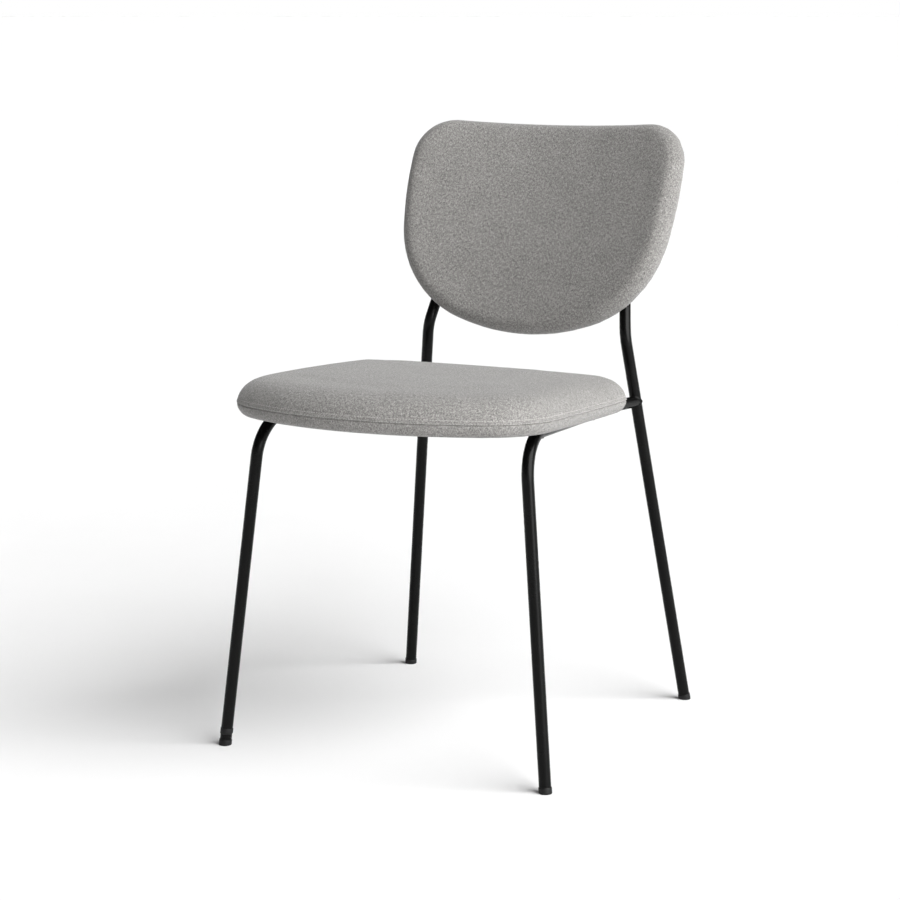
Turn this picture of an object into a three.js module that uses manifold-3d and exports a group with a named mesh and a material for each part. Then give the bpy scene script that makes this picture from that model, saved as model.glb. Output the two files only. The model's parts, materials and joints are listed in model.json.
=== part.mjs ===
// A dining chair: a bent steel tube frame, an upholstered seat pad and a curved upholstered backrest.
// Millimetres, +Z up. The sitter faces -Y, and left and right are the sitter's own as seen from the
// front: right is +X. The origin is on the floor, under the middle of the chair's box.
import * as THREE from 'three';
import Module from 'manifold-3d';
import { mergeVertices } from 'three/addons/utils/BufferGeometryUtils.js';

const wasm = await Module();
wasm.setup();

// ---------------------------------------------------------------- driving dimensions

const GAP = 0.3; // air kept between pieces that touch
const DEG = Math.PI / 180;

// Steel tube, and the points its centre lines pass through on the +X side of the chair
const TUBE_R = 8;
const TUBE_WALL = 1.5;
const TUBE_SIDES = 12;
const FRONT_FOOT = [240.5, -96.5, 0];
const FRONT_CORNER = [195.2, -66.4, 452.5];
const FRONT_BEND_R = 60;
const RAIL_CORNER = [162.9, 286.8, 441.8];
const RAIL_BEND_R = 120;
const RAIL_END = [168.3, 351.7, 439.8];
const REAR_FOOT = [225.1, 409.5, 0];
const REAR_CORNER = [155.8, 337.8, 534];
const REAR_BEND_R = 55;
// Sideways run, backwards run and rise of the upright below and inside the backrest
const UPRIGHT_RUN = [-9.2, 19.3, 50];
const INNER_RUN = [-11.5, 39.5, 88];
const INNER_BEND_R = 150;
const FRONT_CROSS_Y = -4;
const REAR_CROSS_Y = 196;
const CROSS_TRIM = 3; // a cross rail's ends stop this far short of the side rails' centre lines

// Foot caps
const CAP_HEAD_R = 8.7;
const CAP_HEAD_H = 8.3;
const CAP_CHAMFER = 0.8;
const CAP_BURIED = 4; // a cap is turned this much too long, and cut level at the floor
const CAP_PLUG_R = 5.9;
const CAP_PLUG_H = 16;
const CAP_PLUG_TAPER = 1.5;

// Seat pad: its plan is a chain of arcs from the middle of the front to the middle of the back
const SEAT_PITCH = 0.0303; // radians, falling to the rear with the side rails
const SEAT_FRONT_Y = -187;
const SEAT_CENTRE_Y = 30;
const SEAT_ARCS = [[342, 29.9, 4], [111, 59.4, 5], [3000, 4.5, 2], [47, 80.9, 4]];
const SEAT_CLOSING_STEPS = 3;
const SEAM_H = 11.4; // heights are above the underside of the seat board
const EDGE_INSET = 46.6;
const EDGE_RISE = 32.6;
const CROWN_RISE = 6;
const LIP_DROP = 5;
const LIP_W = 12.5;
const HEM_RUN = 3.5; // from the bottom of the lip to where the cover lies flat under the board
const HEM_INNER_RUN = 2.7;
const BOARD_T = 12;
const BOARD_INSET = 12;
const TURN_IN = 20;
const FOAM_DROP = 0.4; // the foam's inner edge below the underside of the board
const DUST_T = 0.6;
const FABRIC_T = 1.5;

// Seat fixings
const SEAT_SCREW_X = { front: 136, rear: 118 };
const M6_R = 3;
const M6_HEAD_R = 5.8;
const M6_HEAD_H = 3.4;
const TEE_BARREL_R = 4;
const TEE_FLANGE_R = 9;
const TEE_FLANGE_T = 1.4;

// Backrest: its outline is a chain of arcs from the middle of the bottom to the middle of the top,
// and it is rolled round an upright cylinder in front of it
const BACK_CENTRE = [0, 389, 672.2];
const BACK_TILT = 22.2 * DEG;
const BACK_ROLL_R = 770;
const BACK_BOTTOM_V = -154.9;
const BACK_ARCS = [[330, 19.1, 2], [153, 62.5, 5], [577, 11.2, 2], [62.5, 86.6, 6]];
const BACK_CLOSING_STEPS = 3;
const BACK_EDGE_R = 20;
const BACK_FRONT_CROWN = { rise: 4, power: 2, scales: [0.75, 0.45, 0] };
const BACK_REAR_CROWN = { rise: 11.5, power: 6, scales: [0.9, 0.75, 0.45, 0] };
const BACK_SEAM_ANGLE = 30; // degrees round the rim towards the rear
const PLY_FRONT = -3.3;
const PLY_REAR = 4.7;
const PLY_INSET = 16;
const BAR_T = 3;
const BAR_W = 25;
const BAR_FRONT = PLY_REAR + GAP;
const BARS = { lower: { v: -72, half: 146 }, upper: { v: -12, half: 136 } };
const BACK_SCREW_U = 62;
const M5_R = 2.5;
const M5_HEAD_R = 4.6;
const M5_HEAD_H = 2.6;
const INSERT_R = 4;

// ---------------------------------------------------------------- materials

const paint = new THREE.MeshStandardMaterial({ color: 0x161616, roughness: 0.45, metalness: 0.4 });
const plastic = new THREE.MeshStandardMaterial({ color: 0x121212, roughness: 0.6, metalness: 0 });
const zinc = new THREE.MeshStandardMaterial({ color: 0xb4b6b8, roughness: 0.35, metalness: 0.9 });
const plywood = new THREE.MeshStandardMaterial({ color: 0xc8a878, roughness: 0.7, metalness: 0 });
const foam = new THREE.MeshStandardMaterial({ color: 0xe8dfc4, roughness: 0.95, metalness: 0 });
const fabric = new THREE.MeshStandardMaterial({ color: 0x9a9896, roughness: 0.95, metalness: 0 });
const lining = new THREE.MeshStandardMaterial({ color: 0x1c1c1e, roughness: 0.95, metalness: 0 });

// ---------------------------------------------------------------- solids

const vec = (point) => new THREE.Vector3(...point);
const mirrored = (point) => [-point[0], point[1], point[2]];

function toSolid(geometry) {
  const bare = geometry.clone();
  bare.deleteAttribute('normal');
  bare.deleteAttribute('uv');
  const merged = mergeVertices(bare, 1e-4);
  return new wasm.Manifold(new wasm.Mesh({
    numProp: 3,
    vertProperties: new Float32Array(merged.attributes.position.array),
    triVerts: new Uint32Array(merged.index.array),
  }));
}

function toGeometry(solid) {
  const mesh = solid.getMesh();
  const geometry = new THREE.BufferGeometry();
  geometry.setAttribute('position', new THREE.BufferAttribute(mesh.vertProperties, 3));
  geometry.setIndex(new THREE.BufferAttribute(mesh.triVerts, 1));
  geometry.computeVertexNormals();
  return geometry;
}

function cut(geometry, tools) {
  return toGeometry(tools.reduce((solid, tool) => solid.subtract(toSolid(tool)), toSolid(geometry)));
}

// A centre line with few stations on its straights and even ones round its bends.
class BentLine extends THREE.Curve {
  constructor(corners, bendRadii, stepsPerBend) {
    super();
    this.stations = [corners[0]];
    for (let i = 1; i < corners.length - 1; i += 1) {
      this.addBend(corners[i - 1], corners[i], corners[i + 1], bendRadii[i - 1], stepsPerBend[i - 1]);
    }
    this.stations.push(corners.at(-1));
  }

  addBend(before, corner, after, radius, steps) {
    const arriving = corner.clone().sub(before).normalize();
    const leaving = after.clone().sub(corner).normalize();
    const turn = arriving.angleTo(leaving);
    const start = corner.clone().addScaledVector(arriving, -radius * Math.tan(turn / 2));
    const inward = leaving.clone().addScaledVector(arriving, -leaving.dot(arriving)).normalize();
    const centre = start.clone().addScaledVector(inward, radius);
    for (let i = 0; i <= steps; i += 1) {
      const angle = (turn * i) / steps;
      this.stations.push(centre.clone()
        .addScaledVector(inward, -radius * Math.cos(angle))
        .addScaledVector(arriving, radius * Math.sin(angle)));
    }
  }

  get steps() {
    return this.stations.length - 1;
  }

  getUtoTmapping(u) {
    return u;
  }

  getPoint(t, target = new THREE.Vector3()) {
    const along = Math.min(Math.max(t, 0), 1) * this.steps;
    const index = Math.min(Math.floor(along), this.steps - 1);
    return target.lerpVectors(this.stations[index], this.stations[index + 1], along - index);
  }
}

// A tube along a centre line. With no wall it is a solid rod.
function tube(line, radius, wall) {
  const section = new THREE.Shape();
  section.absarc(0, 0, radius, 0, 2 * Math.PI, false);
  if (wall > 0) {
    const bore = new THREE.Path();
    bore.absarc(0, 0, radius - wall, 0, 2 * Math.PI, true);
    section.holes.push(bore);
  }
  return new THREE.ExtrudeGeometry(section, {
    extrudePath: line, steps: line.steps, curveSegments: TUBE_SIDES / 2,
  });
}

// The rod that a tube's neighbour is cut with, so that they keep the gap all round.
const clearanceRod = (line) => tube(line, (TUBE_R + GAP) / Math.cos(Math.PI / TUBE_SIDES), 0);

// A disc or rod along +Z from low to high, moved to a place and turned.
function rod(radius, low, high, place = new THREE.Matrix4(), sides = 12) {
  const geometry = new THREE.CylinderGeometry(radius, radius, high - low, sides);
  geometry.rotateX(Math.PI / 2).translate(0, 0, (high + low) / 2);
  return geometry.applyMatrix4(place);
}

// A turned piece from (radius, height) pairs, its axis on +Z.
function turned(profile, sides, place = new THREE.Matrix4()) {
  const points = profile.map(([radius, height]) => new THREE.Vector2(radius, height));
  return new THREE.LatheGeometry(points, sides).rotateX(Math.PI / 2).applyMatrix4(place);
}

// One side of a closed outline as a chain of [radius, turn in degrees, steps] arcs that starts on the
// middle line heading +X. A last arc closes it on the middle line, and the other side is its mirror.
function outline(startY, arcs, closingSteps) {
  const half = [];
  let heading = 0;
  let x = 0;
  let y = startY;
  const addArc = (radius, turn, steps) => {
    const centreX = x - radius * Math.sin(heading);
    const centreY = y + radius * Math.cos(heading);
    for (let i = 0; i < steps; i += 1) {
      const angle = heading + (turn * i) / steps;
      half.push({
        x: centreX + radius * Math.sin(angle), y: centreY - radius * Math.cos(angle),
        nx: Math.sin(angle), ny: -Math.cos(angle),
      });
    }
    heading += turn;
    x = centreX + radius * Math.sin(heading);
    y = centreY - radius * Math.cos(heading);
  };
  arcs.forEach(([radius, degrees, steps]) => addArc(radius, degrees * DEG, steps));
  addArc(x / Math.sin(heading), Math.PI - heading, closingSteps);
  half.push({ x: 0, y, nx: 0, ny: 1 });
  const otherHalf = half.slice(1, -1).reverse().map((p) => ({ ...p, x: -p.x, nx: -p.nx }));
  return [...half, ...otherHalf];
}

// How far in a station is. Quads are split by it, so that skins one inside the other stay parallel.
const depthIn = ({ inset, scale = 1 }) => inset + 1000 * (1 - scale);

// A closed body through a list of stations. A station is a ring that follows the outline at an inset
// and a height, drawn in towards the centre by its scale, and a scale of 0 is a single point.
function loft(plan, centreY, stations, place, isRing = false) {
  const positions = [];
  const starts = [];
  for (const { inset, height, scale = 1 } of stations) {
    starts.push(positions.length / 3);
    const points = scale === 0 ? [{ x: 0, y: centreY, nx: 0, ny: 0 }] : plan;
    for (const p of points) {
      const x = (p.x - p.nx * inset) * scale;
      const y = centreY + (p.y - p.ny * inset - centreY) * scale;
      positions.push(...place(x, y, height).toArray());
    }
  }
  const faces = [];
  const count = plan.length;
  const spans = isRing ? stations.length : stations.length - 1;
  for (let s = 0; s < spans; s += 1) {
    const next = (s + 1) % stations.length;
    const corner = (station, i) => starts[station] + (stations[station].scale === 0 ? 0 : i);
    const inwards = depthIn(stations[next]) >= depthIn(stations[s]);
    for (let i = 0; i < count; i += 1) {
      const j = (i + 1) % count;
      const [a, b, c, d] = [corner(s, i), corner(s, j), corner(next, i), corner(next, j)];
      const pair = inwards ? [[a, b, d], [a, d, c]] : [[a, b, c], [b, d, c]];
      faces.push(...pair.filter((face) => new Set(face).size === 3));
    }
  }
  const at = (index) => new THREE.Vector3().fromArray(positions, index * 3);
  const volume = faces.reduce((sum, [a, b, c]) => sum + at(a).dot(at(b).cross(at(c))), 0);
  const geometry = new THREE.BufferGeometry();
  geometry.setAttribute('position', new THREE.Float32BufferAttribute(positions, 3));
  geometry.setIndex(faces.flatMap(([a, b, c]) => (volume > 0 ? [a, b, c] : [a, c, b])));
  geometry.computeVertexNormals();
  return geometry;
}

// ---------------------------------------------------------------- assembly

const chair = new THREE.Group();
const seat = new THREE.Group();
const back = new THREE.Group();
chair.add(seat, back);

function addPiece(group, name, geometry, material) {
  const mesh = new THREE.Mesh(geometry, material);
  mesh.name = name;
  group.add(mesh);
}

// ---------------------------------------------------------------- frame

const railSlope = (RAIL_CORNER[2] - FRONT_CORNER[2]) / (RAIL_CORNER[1] - FRONT_CORNER[1]);
const railDrift = (RAIL_CORNER[0] - FRONT_CORNER[0]) / (RAIL_CORNER[1] - FRONT_CORNER[1]);
const railZ = (y) => FRONT_CORNER[2] + railSlope * (y - FRONT_CORNER[1]);
const railX = (y) => FRONT_CORNER[0] + railDrift * (y - FRONT_CORNER[1]);
const moved = (point, run) => point.map((value, axis) => value + run[axis]);
const INNER_CORNER = moved(REAR_CORNER, UPRIGHT_RUN);
const UPRIGHT_TOP = moved(INNER_CORNER, INNER_RUN);

// A leg's tube starts on top of its foot cap's head.
function aboveCap(foot, corner) {
  const axis = vec(corner).sub(vec(foot)).normalize();
  return vec(foot).addScaledVector(axis, CAP_HEAD_H + GAP);
}

function frontLine(side) {
  const corners = [FRONT_CORNER, RAIL_CORNER, RAIL_END].map(side).map(vec);
  corners.unshift(aboveCap(side(FRONT_FOOT), side(FRONT_CORNER)));
  return new BentLine(corners, [FRONT_BEND_R, RAIL_BEND_R], [6, 2]);
}

function rearLine(side) {
  const corners = [REAR_CORNER, INNER_CORNER, UPRIGHT_TOP].map(side).map(vec);
  corners.unshift(aboveCap(side(REAR_FOOT), side(REAR_CORNER)));
  return new BentLine(corners, [REAR_BEND_R, INNER_BEND_R], [4, 2]);
}

function footCap(foot, corner) {
  const axis = vec(corner).sub(vec(foot)).normalize();
  const turn = new THREE.Quaternion().setFromUnitVectors(new THREE.Vector3(0, 0, 1), axis);
  const place = new THREE.Matrix4().compose(vec(foot), turn, new THREE.Vector3(1, 1, 1));
  const cap = turned([
    [0, -CAP_BURIED], [CAP_HEAD_R, -CAP_BURIED], [CAP_HEAD_R, CAP_HEAD_H - CAP_CHAMFER],
    [CAP_HEAD_R - CAP_CHAMFER, CAP_HEAD_H],
    [CAP_PLUG_R, CAP_HEAD_H], [CAP_PLUG_R, CAP_HEAD_H + CAP_PLUG_H - CAP_PLUG_TAPER],
    [CAP_PLUG_R - CAP_PLUG_TAPER, CAP_HEAD_H + CAP_PLUG_H], [0, CAP_HEAD_H + CAP_PLUG_H],
  ], 14, place);
  const belowFloor = rod(4 * CAP_HEAD_R, -3 * CAP_HEAD_R, 0,
    new THREE.Matrix4().makeTranslation(foot[0], foot[1], 0), 4);
  return cut(cap, [belowFloor]);
}

const SIDES = { left: mirrored, right: (point) => point };
const lines = {};
for (const [sideName, side] of Object.entries(SIDES)) {
  const front = frontLine(side);
  const rear = rearLine(side);
  lines[sideName] = { front, rear };
  addPiece(chair, `front_leg_${sideName}`, cut(tube(front, TUBE_R, TUBE_WALL), [clearanceRod(rear)]), paint);
  addPiece(chair, `rear_leg_${sideName}`, tube(rear, TUBE_R, TUBE_WALL), paint);
  addPiece(chair, `foot_cap_front_${sideName}`, footCap(side(FRONT_FOOT), side(FRONT_CORNER)), plastic);
  addPiece(chair, `foot_cap_rear_${sideName}`, footCap(side(REAR_FOOT), side(REAR_CORNER)), plastic);
}

// The seat group's origin is on the underside of the seat board, over the middle of the rails.
const PAD_LIFT = TUBE_R + GAP + DUST_T + GAP;
seat.position.set(0, 0, railZ(0) + PAD_LIFT);
seat.rotation.x = -SEAT_PITCH;
seat.updateMatrix();
back.position.set(...BACK_CENTRE);
back.rotation.x = -BACK_TILT;
back.updateMatrix();
const inGroup = (geometry, group) => geometry.applyMatrix4(group.matrix.clone().invert());
const onSeat = (x, y, z = 0) => new THREE.Matrix4().makeTranslation(x, y, z);

// Cross rails run from rail to rail, coped to both, with a hole for each seat screw.
const CROSS_RAILS = { front: FRONT_CROSS_Y, rear: REAR_CROSS_Y };
for (const [end, y] of Object.entries(CROSS_RAILS)) {
  const reach = railX(y) - CROSS_TRIM;
  const line = new BentLine([new THREE.Vector3(-reach, y, railZ(y)), new THREE.Vector3(reach, y, railZ(y))]);
  const holes = [-1, 1].map((sign) => {
    const hole = rod(M6_R + 2 * GAP, -4 * TUBE_R, 0, onSeat(sign * SEAT_SCREW_X[end], y));
    return hole.applyMatrix4(seat.matrix);
  });
  const ends = [clearanceRod(lines.left.front), clearanceRod(lines.right.front)];
  addPiece(chair, `${end}_cross_rail`, cut(tube(line, TUBE_R, TUBE_WALL), [...ends, ...holes]), paint);
}

// ---------------------------------------------------------------- seat

const seatPlan = outline(SEAT_FRONT_Y, SEAT_ARCS, SEAT_CLOSING_STEPS);
const flat = (x, y, z) => new THREE.Vector3(x, y, z);
const loftSeat = (stations, isRing) => loft(seatPlan, SEAT_CENTRE_Y, stations, flat, isRing);
const tubesThroughSeat = () => Object.values(lines).map(({ front }) => inGroup(clearanceRod(front), seat));

// The top surface from the seam inwards: a quarter of an ellipse, then a low crown.
function seatTop(depth) {
  const stations = [0, 18, 38, 60, 90].map((degrees) => {
    const along = Math.cos(degrees * DEG);
    const up = Math.sin(degrees * DEG);
    const length = Math.hypot(along / EDGE_INSET, up / EDGE_RISE);
    return {
      inset: EDGE_INSET * (1 - along) + (depth * along) / EDGE_INSET / length,
      height: SEAM_H + EDGE_RISE * up - (depth * up) / EDGE_RISE / length,
    };
  });
  for (const scale of [0.65, 0.3, 0]) {
    const height = SEAM_H + EDGE_RISE + CROWN_RISE * (1 - scale * scale) - depth;
    stations.push({ inset: EDGE_INSET, height, scale });
  }
  return stations;
}

// The side below the seam, round and in under the pad to the bottom of its lip.
const SIDE = [
  { inset: 0, height: SEAM_H - GAP }, { inset: 0.3, height: SEAM_H - 4 }, { inset: 2, height: 3.5 },
  { inset: 5.2, height: -1.2 }, { inset: 9, height: -4.2 }, { inset: LIP_W, height: -LIP_DROP },
];

// The same side moved into the pad by a depth, square to itself.
function seatSide(depth) {
  return SIDE.map((station, i) => {
    const before = SIDE[Math.max(i - 1, 0)];
    const after = SIDE[Math.min(i + 1, SIDE.length - 1)];
    const run = after.inset - before.inset;
    const drop = before.height - after.height;
    const length = Math.hypot(run, drop);
    const lift = i === 0 ? 0 : (depth * run) / length;
    return { inset: station.inset + (depth * drop) / length, height: station.height + lift };
  });
}

addPiece(seat, 'seat_cover_top', loftSeat([
  ...seatTop(FABRIC_T).reverse(), ...seatTop(0),
]), fabric);

addPiece(seat, 'seat_cover_band', cut(loftSeat([
  ...seatSide(0),
  { inset: LIP_W + HEM_RUN, height: -GAP - FABRIC_T },
  { inset: TURN_IN, height: -GAP - FABRIC_T },
  { inset: TURN_IN, height: -GAP },
  { inset: LIP_W + HEM_INNER_RUN, height: -GAP },
  ...seatSide(FABRIC_T).reverse(),
], true), tubesThroughSeat()), fabric);

addPiece(seat, 'seat_foam', cut(loftSeat([
  { inset: BOARD_INSET, height: BOARD_T + GAP, scale: 0 },
  { inset: BOARD_INSET - GAP, height: BOARD_T + GAP },
  { inset: BOARD_INSET - GAP, height: -FOAM_DROP },
  ...seatSide(FABRIC_T + GAP).slice(1, -1).reverse(),
  ...seatTop(FABRIC_T + GAP),
]), tubesThroughSeat()), foam);

const seatFixings = Object.entries(CROSS_RAILS).flatMap(([end, y]) => (
  Object.entries(SIDES).map(([sideName, side]) => {
    const local = new THREE.Vector3(0, y, railZ(y)).applyMatrix4(seat.matrix.clone().invert());
    return { name: `${end}_${sideName}`, x: side([SEAT_SCREW_X[end]])[0], y: local.y, axisH: local.z };
  })
));
const atFixings = (make) => seatFixings.map(({ x, y }) => make(onSeat(x, y)));

const boardBlank = loftSeat([
  { inset: BOARD_INSET, height: 0, scale: 0 }, { inset: BOARD_INSET, height: 0 },
  { inset: BOARD_INSET, height: BOARD_T }, { inset: BOARD_INSET, height: BOARD_T, scale: 0 },
]);
addPiece(seat, 'seat_board', cut(boardBlank, [
  ...atFixings((place) => rod(TEE_BARREL_R + GAP, -1, BOARD_T + 1, place)),
  ...atFixings((place) => rod(TEE_FLANGE_R + GAP, BOARD_T - TEE_FLANGE_T - GAP, BOARD_T + 1, place)),
]), plywood);

const dustBlank = loftSeat([
  { inset: TURN_IN + GAP, height: -GAP, scale: 0 }, { inset: TURN_IN + GAP, height: -GAP },
  { inset: TURN_IN + GAP, height: -GAP - DUST_T },
  { inset: TURN_IN + GAP, height: -GAP - DUST_T, scale: 0 },
]);
addPiece(seat, 'seat_dust_cover', cut(dustBlank, atFixings((place) => rod(M6_R + GAP, -2, 1, place))), lining);

const panHead = (radius, headRadius, headHeight, length) => [
  [0, 0], [headRadius - 1, 0], [headRadius, headHeight * 0.45], [headRadius, headHeight],
  [radius, headHeight], [radius, headHeight + length - 1], [radius - 1, headHeight + length],
  [0, headHeight + length],
];

for (const { name, x, y, axisH } of seatFixings) {
  const headBase = axisH - TUBE_R - GAP - M6_HEAD_H;
  const length = BOARD_T - TEE_FLANGE_T - axisH + TUBE_R;
  addPiece(seat, `seat_screw_${name}`,
    turned(panHead(M6_R - GAP, M6_HEAD_R, M6_HEAD_H, length), 12, onSeat(x, y, headBase)), zinc);
  addPiece(seat, `tee_nut_${name}`, turned([
    [M6_R, 2], [TEE_BARREL_R, 2], [TEE_BARREL_R, BOARD_T - TEE_FLANGE_T], [TEE_FLANGE_R, BOARD_T - TEE_FLANGE_T],
    [TEE_FLANGE_R, BOARD_T], [M6_R, BOARD_T], [M6_R, 2],
  ], 12, onSeat(x, y)), zinc);
}

// ---------------------------------------------------------------- backrest

// The panel is drawn flat, u across, v up its slope and t through it to the rear, and then rolled.
const rolled = (u, v, t) => new THREE.Vector3(
  (BACK_ROLL_R + t) * Math.sin(u / BACK_ROLL_R), (BACK_ROLL_R + t) * Math.cos(u / BACK_ROLL_R) - BACK_ROLL_R, v,
);
const backPlan = outline(BACK_BOTTOM_V, BACK_ARCS, BACK_CLOSING_STEPS);
const loftBack = (stations) => loft(backPlan, 0, stations, rolled);

// A point round the rim's half circle: 0 is the rim itself, plus is towards the rear.
const rim = (angle, depth) => ({
  inset: BACK_EDGE_R - (BACK_EDGE_R - depth) * Math.cos(angle),
  height: (BACK_EDGE_R - depth) * Math.sin(angle),
});
const rimArc = (degrees, depth) => degrees.map((angle) => rim(angle * DEG, depth));
const crowned = ({ rise, power, scales }, depth, sign) => scales.map((scale) => ({
  inset: BACK_EDGE_R, height: sign * (BACK_EDGE_R + rise * (1 - scale ** power) - depth), scale,
}));
const facing = (height) => [0, 0.45, 0.75].map((scale) => ({ inset: BACK_EDGE_R, height, scale }));

// The foams meet in the plane of the plywood's rear face, and the covers at a seam further round.
const SKINNED = FABRIC_T + GAP;
const jointAngle = (t) => Math.asin(t / (BACK_EDGE_R - SKINNED)) / DEG;
const FRONT_RIM = [jointAngle(PLY_REAR), 0, -30, -60, -90];
const REAR_RIM = [BACK_SEAM_ANGLE + 1.2, 55, 90];
const frontSkin = (depth) => [
  ...rimArc([BACK_SEAM_ANGLE, ...FRONT_RIM], depth), ...crowned(BACK_FRONT_CROWN, depth, -1),
];
const rearSkin = (depth) => [...rimArc(REAR_RIM, depth), ...crowned(BACK_REAR_CROWN, depth, 1)];

const uprights = () => Object.values(lines).map(({ rear }) => inGroup(clearanceRod(rear), back));

// A flat bar across the back of the plywood, rolled with it.
function bar(half, v, front, rear, width) {
  const geometry = new THREE.BoxGeometry(2 * half, rear - front, width, 10, 1, 1);
  const place = geometry.attributes.position;
  for (let i = 0; i < place.count; i += 1) {
    const at = rolled(place.getX(i), place.getZ(i) + v, place.getY(i) + (front + rear) / 2);
    place.setXYZ(i, at.x, at.y, at.z);
  }
  geometry.computeVertexNormals();
  return geometry;
}

// Screw places on the bars, each with +Z along the panel's own normal, towards the rear.
const backFixings = Object.entries(BARS).flatMap(([level, { v }]) => (
  Object.entries(SIDES).map(([sideName, side]) => {
    const u = side([BACK_SCREW_U])[0];
    const place = new THREE.Matrix4().makeRotationZ(-u / BACK_ROLL_R)
      .multiply(new THREE.Matrix4().makeRotationX(-Math.PI / 2)).setPosition(rolled(u, v, 0));
    return { name: `${level}_${sideName}`, level, place };
  })
));

addPiece(back, 'back_cover_front', cut(loftBack([
  ...frontSkin(FABRIC_T).reverse(), ...frontSkin(0),
]), uprights()), fabric);
addPiece(back, 'back_cover_rear', cut(loftBack([
  ...rearSkin(FABRIC_T).reverse(), ...rearSkin(0),
]), uprights()), fabric);

addPiece(back, 'back_foam_front', cut(loftBack([
  ...facing(PLY_FRONT - GAP),
  { inset: PLY_INSET - GAP, height: PLY_FRONT - GAP },
  { inset: PLY_INSET - GAP, height: PLY_REAR },
  ...rimArc(FRONT_RIM, SKINNED),
  ...crowned(BACK_FRONT_CROWN, SKINNED, -1),
]), uprights()), foam);

const barSlots = Object.values(BARS).map(({ v, half }) => (
  bar(half + 1, v, BAR_FRONT - 2, BAR_FRONT + BAR_T + GAP, BAR_W + 2 * GAP)
));
const headPockets = backFixings.map(({ place }) => (
  rod(M5_HEAD_R + GAP, BAR_FRONT, BAR_FRONT + BAR_T + M5_HEAD_H + 3 * GAP, place)
));
addPiece(back, 'back_foam_rear', cut(loftBack([
  ...facing(PLY_REAR + GAP),
  { inset: PLY_INSET - GAP, height: PLY_REAR + GAP },
  ...rimArc([jointAngle(PLY_REAR + GAP), ...REAR_RIM], SKINNED),
  ...crowned(BACK_REAR_CROWN, SKINNED, 1),
]), [...uprights(), ...barSlots, ...headPockets]), foam);

addPiece(back, 'back_panel', cut(loftBack([
  ...facing(PLY_FRONT), { inset: PLY_INSET, height: PLY_FRONT },
  { inset: PLY_INSET, height: PLY_REAR }, ...facing(PLY_REAR).reverse(),
]), backFixings.map(({ place }) => rod(INSERT_R + GAP, PLY_FRONT - 3, PLY_REAR + 3, place))), plywood);

for (const [level, { v, half }] of Object.entries(BARS)) {
  const holes = backFixings.filter((fixing) => fixing.level === level)
    .map(({ place }) => rod(M5_R + GAP, BAR_FRONT - 3, BAR_FRONT + BAR_T + 3, place));
  addPiece(back, `back_bar_${level}`, cut(bar(half, v, BAR_FRONT, BAR_FRONT + BAR_T, BAR_W), holes), paint);
}

for (const { name, place } of backFixings) {
  const flipped = place.clone().multiply(new THREE.Matrix4().makeTranslation(
    0, 0, BAR_FRONT + BAR_T + 2 * GAP + M5_HEAD_H,
  )).multiply(new THREE.Matrix4().makeRotationX(Math.PI));
  const length = BAR_FRONT + BAR_T + GAP - PLY_FRONT;
  addPiece(back, `back_screw_${name}`,
    turned(panHead(M5_R - 2 * GAP, M5_HEAD_R, M5_HEAD_H, length), 10, flipped), zinc);
  addPiece(back, `threaded_insert_${name}`, turned([
    [M5_R, PLY_FRONT + 0.5], [INSERT_R, PLY_FRONT + 0.5], [INSERT_R, PLY_REAR - 0.5],
    [M5_R, PLY_REAR - 0.5], [M5_R, PLY_FRONT + 0.5],
  ], 10, place), zinc);
}

// ---------------------------------------------------------------- origin

// The chair is moved along Y until the middle of its box is over the origin.
chair.updateMatrixWorld(true);
const box = new THREE.Box3().setFromObject(chair, true);
chair.position.y = -(box.min.y + box.max.y) / 2;

export default chair;
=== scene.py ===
"""The looks of a dining chair, modelled round its CAD frame: steel tube, welds, upholstery and stitching."""
import json
import math

import bpy
import numpy as np
from mathutils import Matrix, Vector
from mathutils.bvhtree import BVHTree


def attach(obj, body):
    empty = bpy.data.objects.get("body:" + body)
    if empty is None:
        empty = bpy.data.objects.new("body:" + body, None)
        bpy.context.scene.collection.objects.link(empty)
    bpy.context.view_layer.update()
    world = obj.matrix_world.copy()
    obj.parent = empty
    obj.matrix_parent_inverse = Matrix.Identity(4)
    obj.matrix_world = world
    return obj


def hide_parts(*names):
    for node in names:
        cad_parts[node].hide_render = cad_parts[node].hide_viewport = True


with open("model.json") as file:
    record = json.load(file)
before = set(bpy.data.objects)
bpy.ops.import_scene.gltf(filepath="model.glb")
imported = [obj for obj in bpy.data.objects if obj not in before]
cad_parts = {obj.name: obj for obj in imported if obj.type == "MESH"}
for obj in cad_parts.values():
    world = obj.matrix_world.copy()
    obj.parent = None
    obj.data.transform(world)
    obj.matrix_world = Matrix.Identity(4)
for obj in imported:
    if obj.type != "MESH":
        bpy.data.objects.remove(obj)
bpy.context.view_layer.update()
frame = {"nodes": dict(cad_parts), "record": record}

bl_info = {
    "name": "Upholstered Dining Chair",
    "version": (1, 0, 0),
    "blender": (4, 5, 0),
    "location": "View3D > Sidebar > Chair",
    "description": "Models the tube frame, padded seat and padded backrest of a dining chair",
    "category": "Add Mesh",
}

FEET = {mount["name"]: Vector(mount["pos_m"]) for mount in frame["record"]["mounts"]}
MM = 0.001
SIDES = {"left": -1, "right": 1}
TUBE_SIDES = 48
BEND_STEP = 3  # degrees from one ring to the next round a tube's bend
OPEN_GAP = 0.3 * MM  # between a tube's end and its foot cap
COPE_GAP = 0.1 * MM  # between a tube's coped end and the tube that it sits against
CAP_BURIED = 4 * MM  # how far a foot cap is drawn below the floor before it is cut level
CAP_CUT = 0.01 * MM  # height of that cut
BEAD_HEIGHT = 0.55  # of a weld bead's half width
RIPPLE_HEIGHT = 0.10  # of a weld bead's half width
RAIL_RIPPLES, CROSS_RIPPLES = 22, 20  # ripples round one bead

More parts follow.
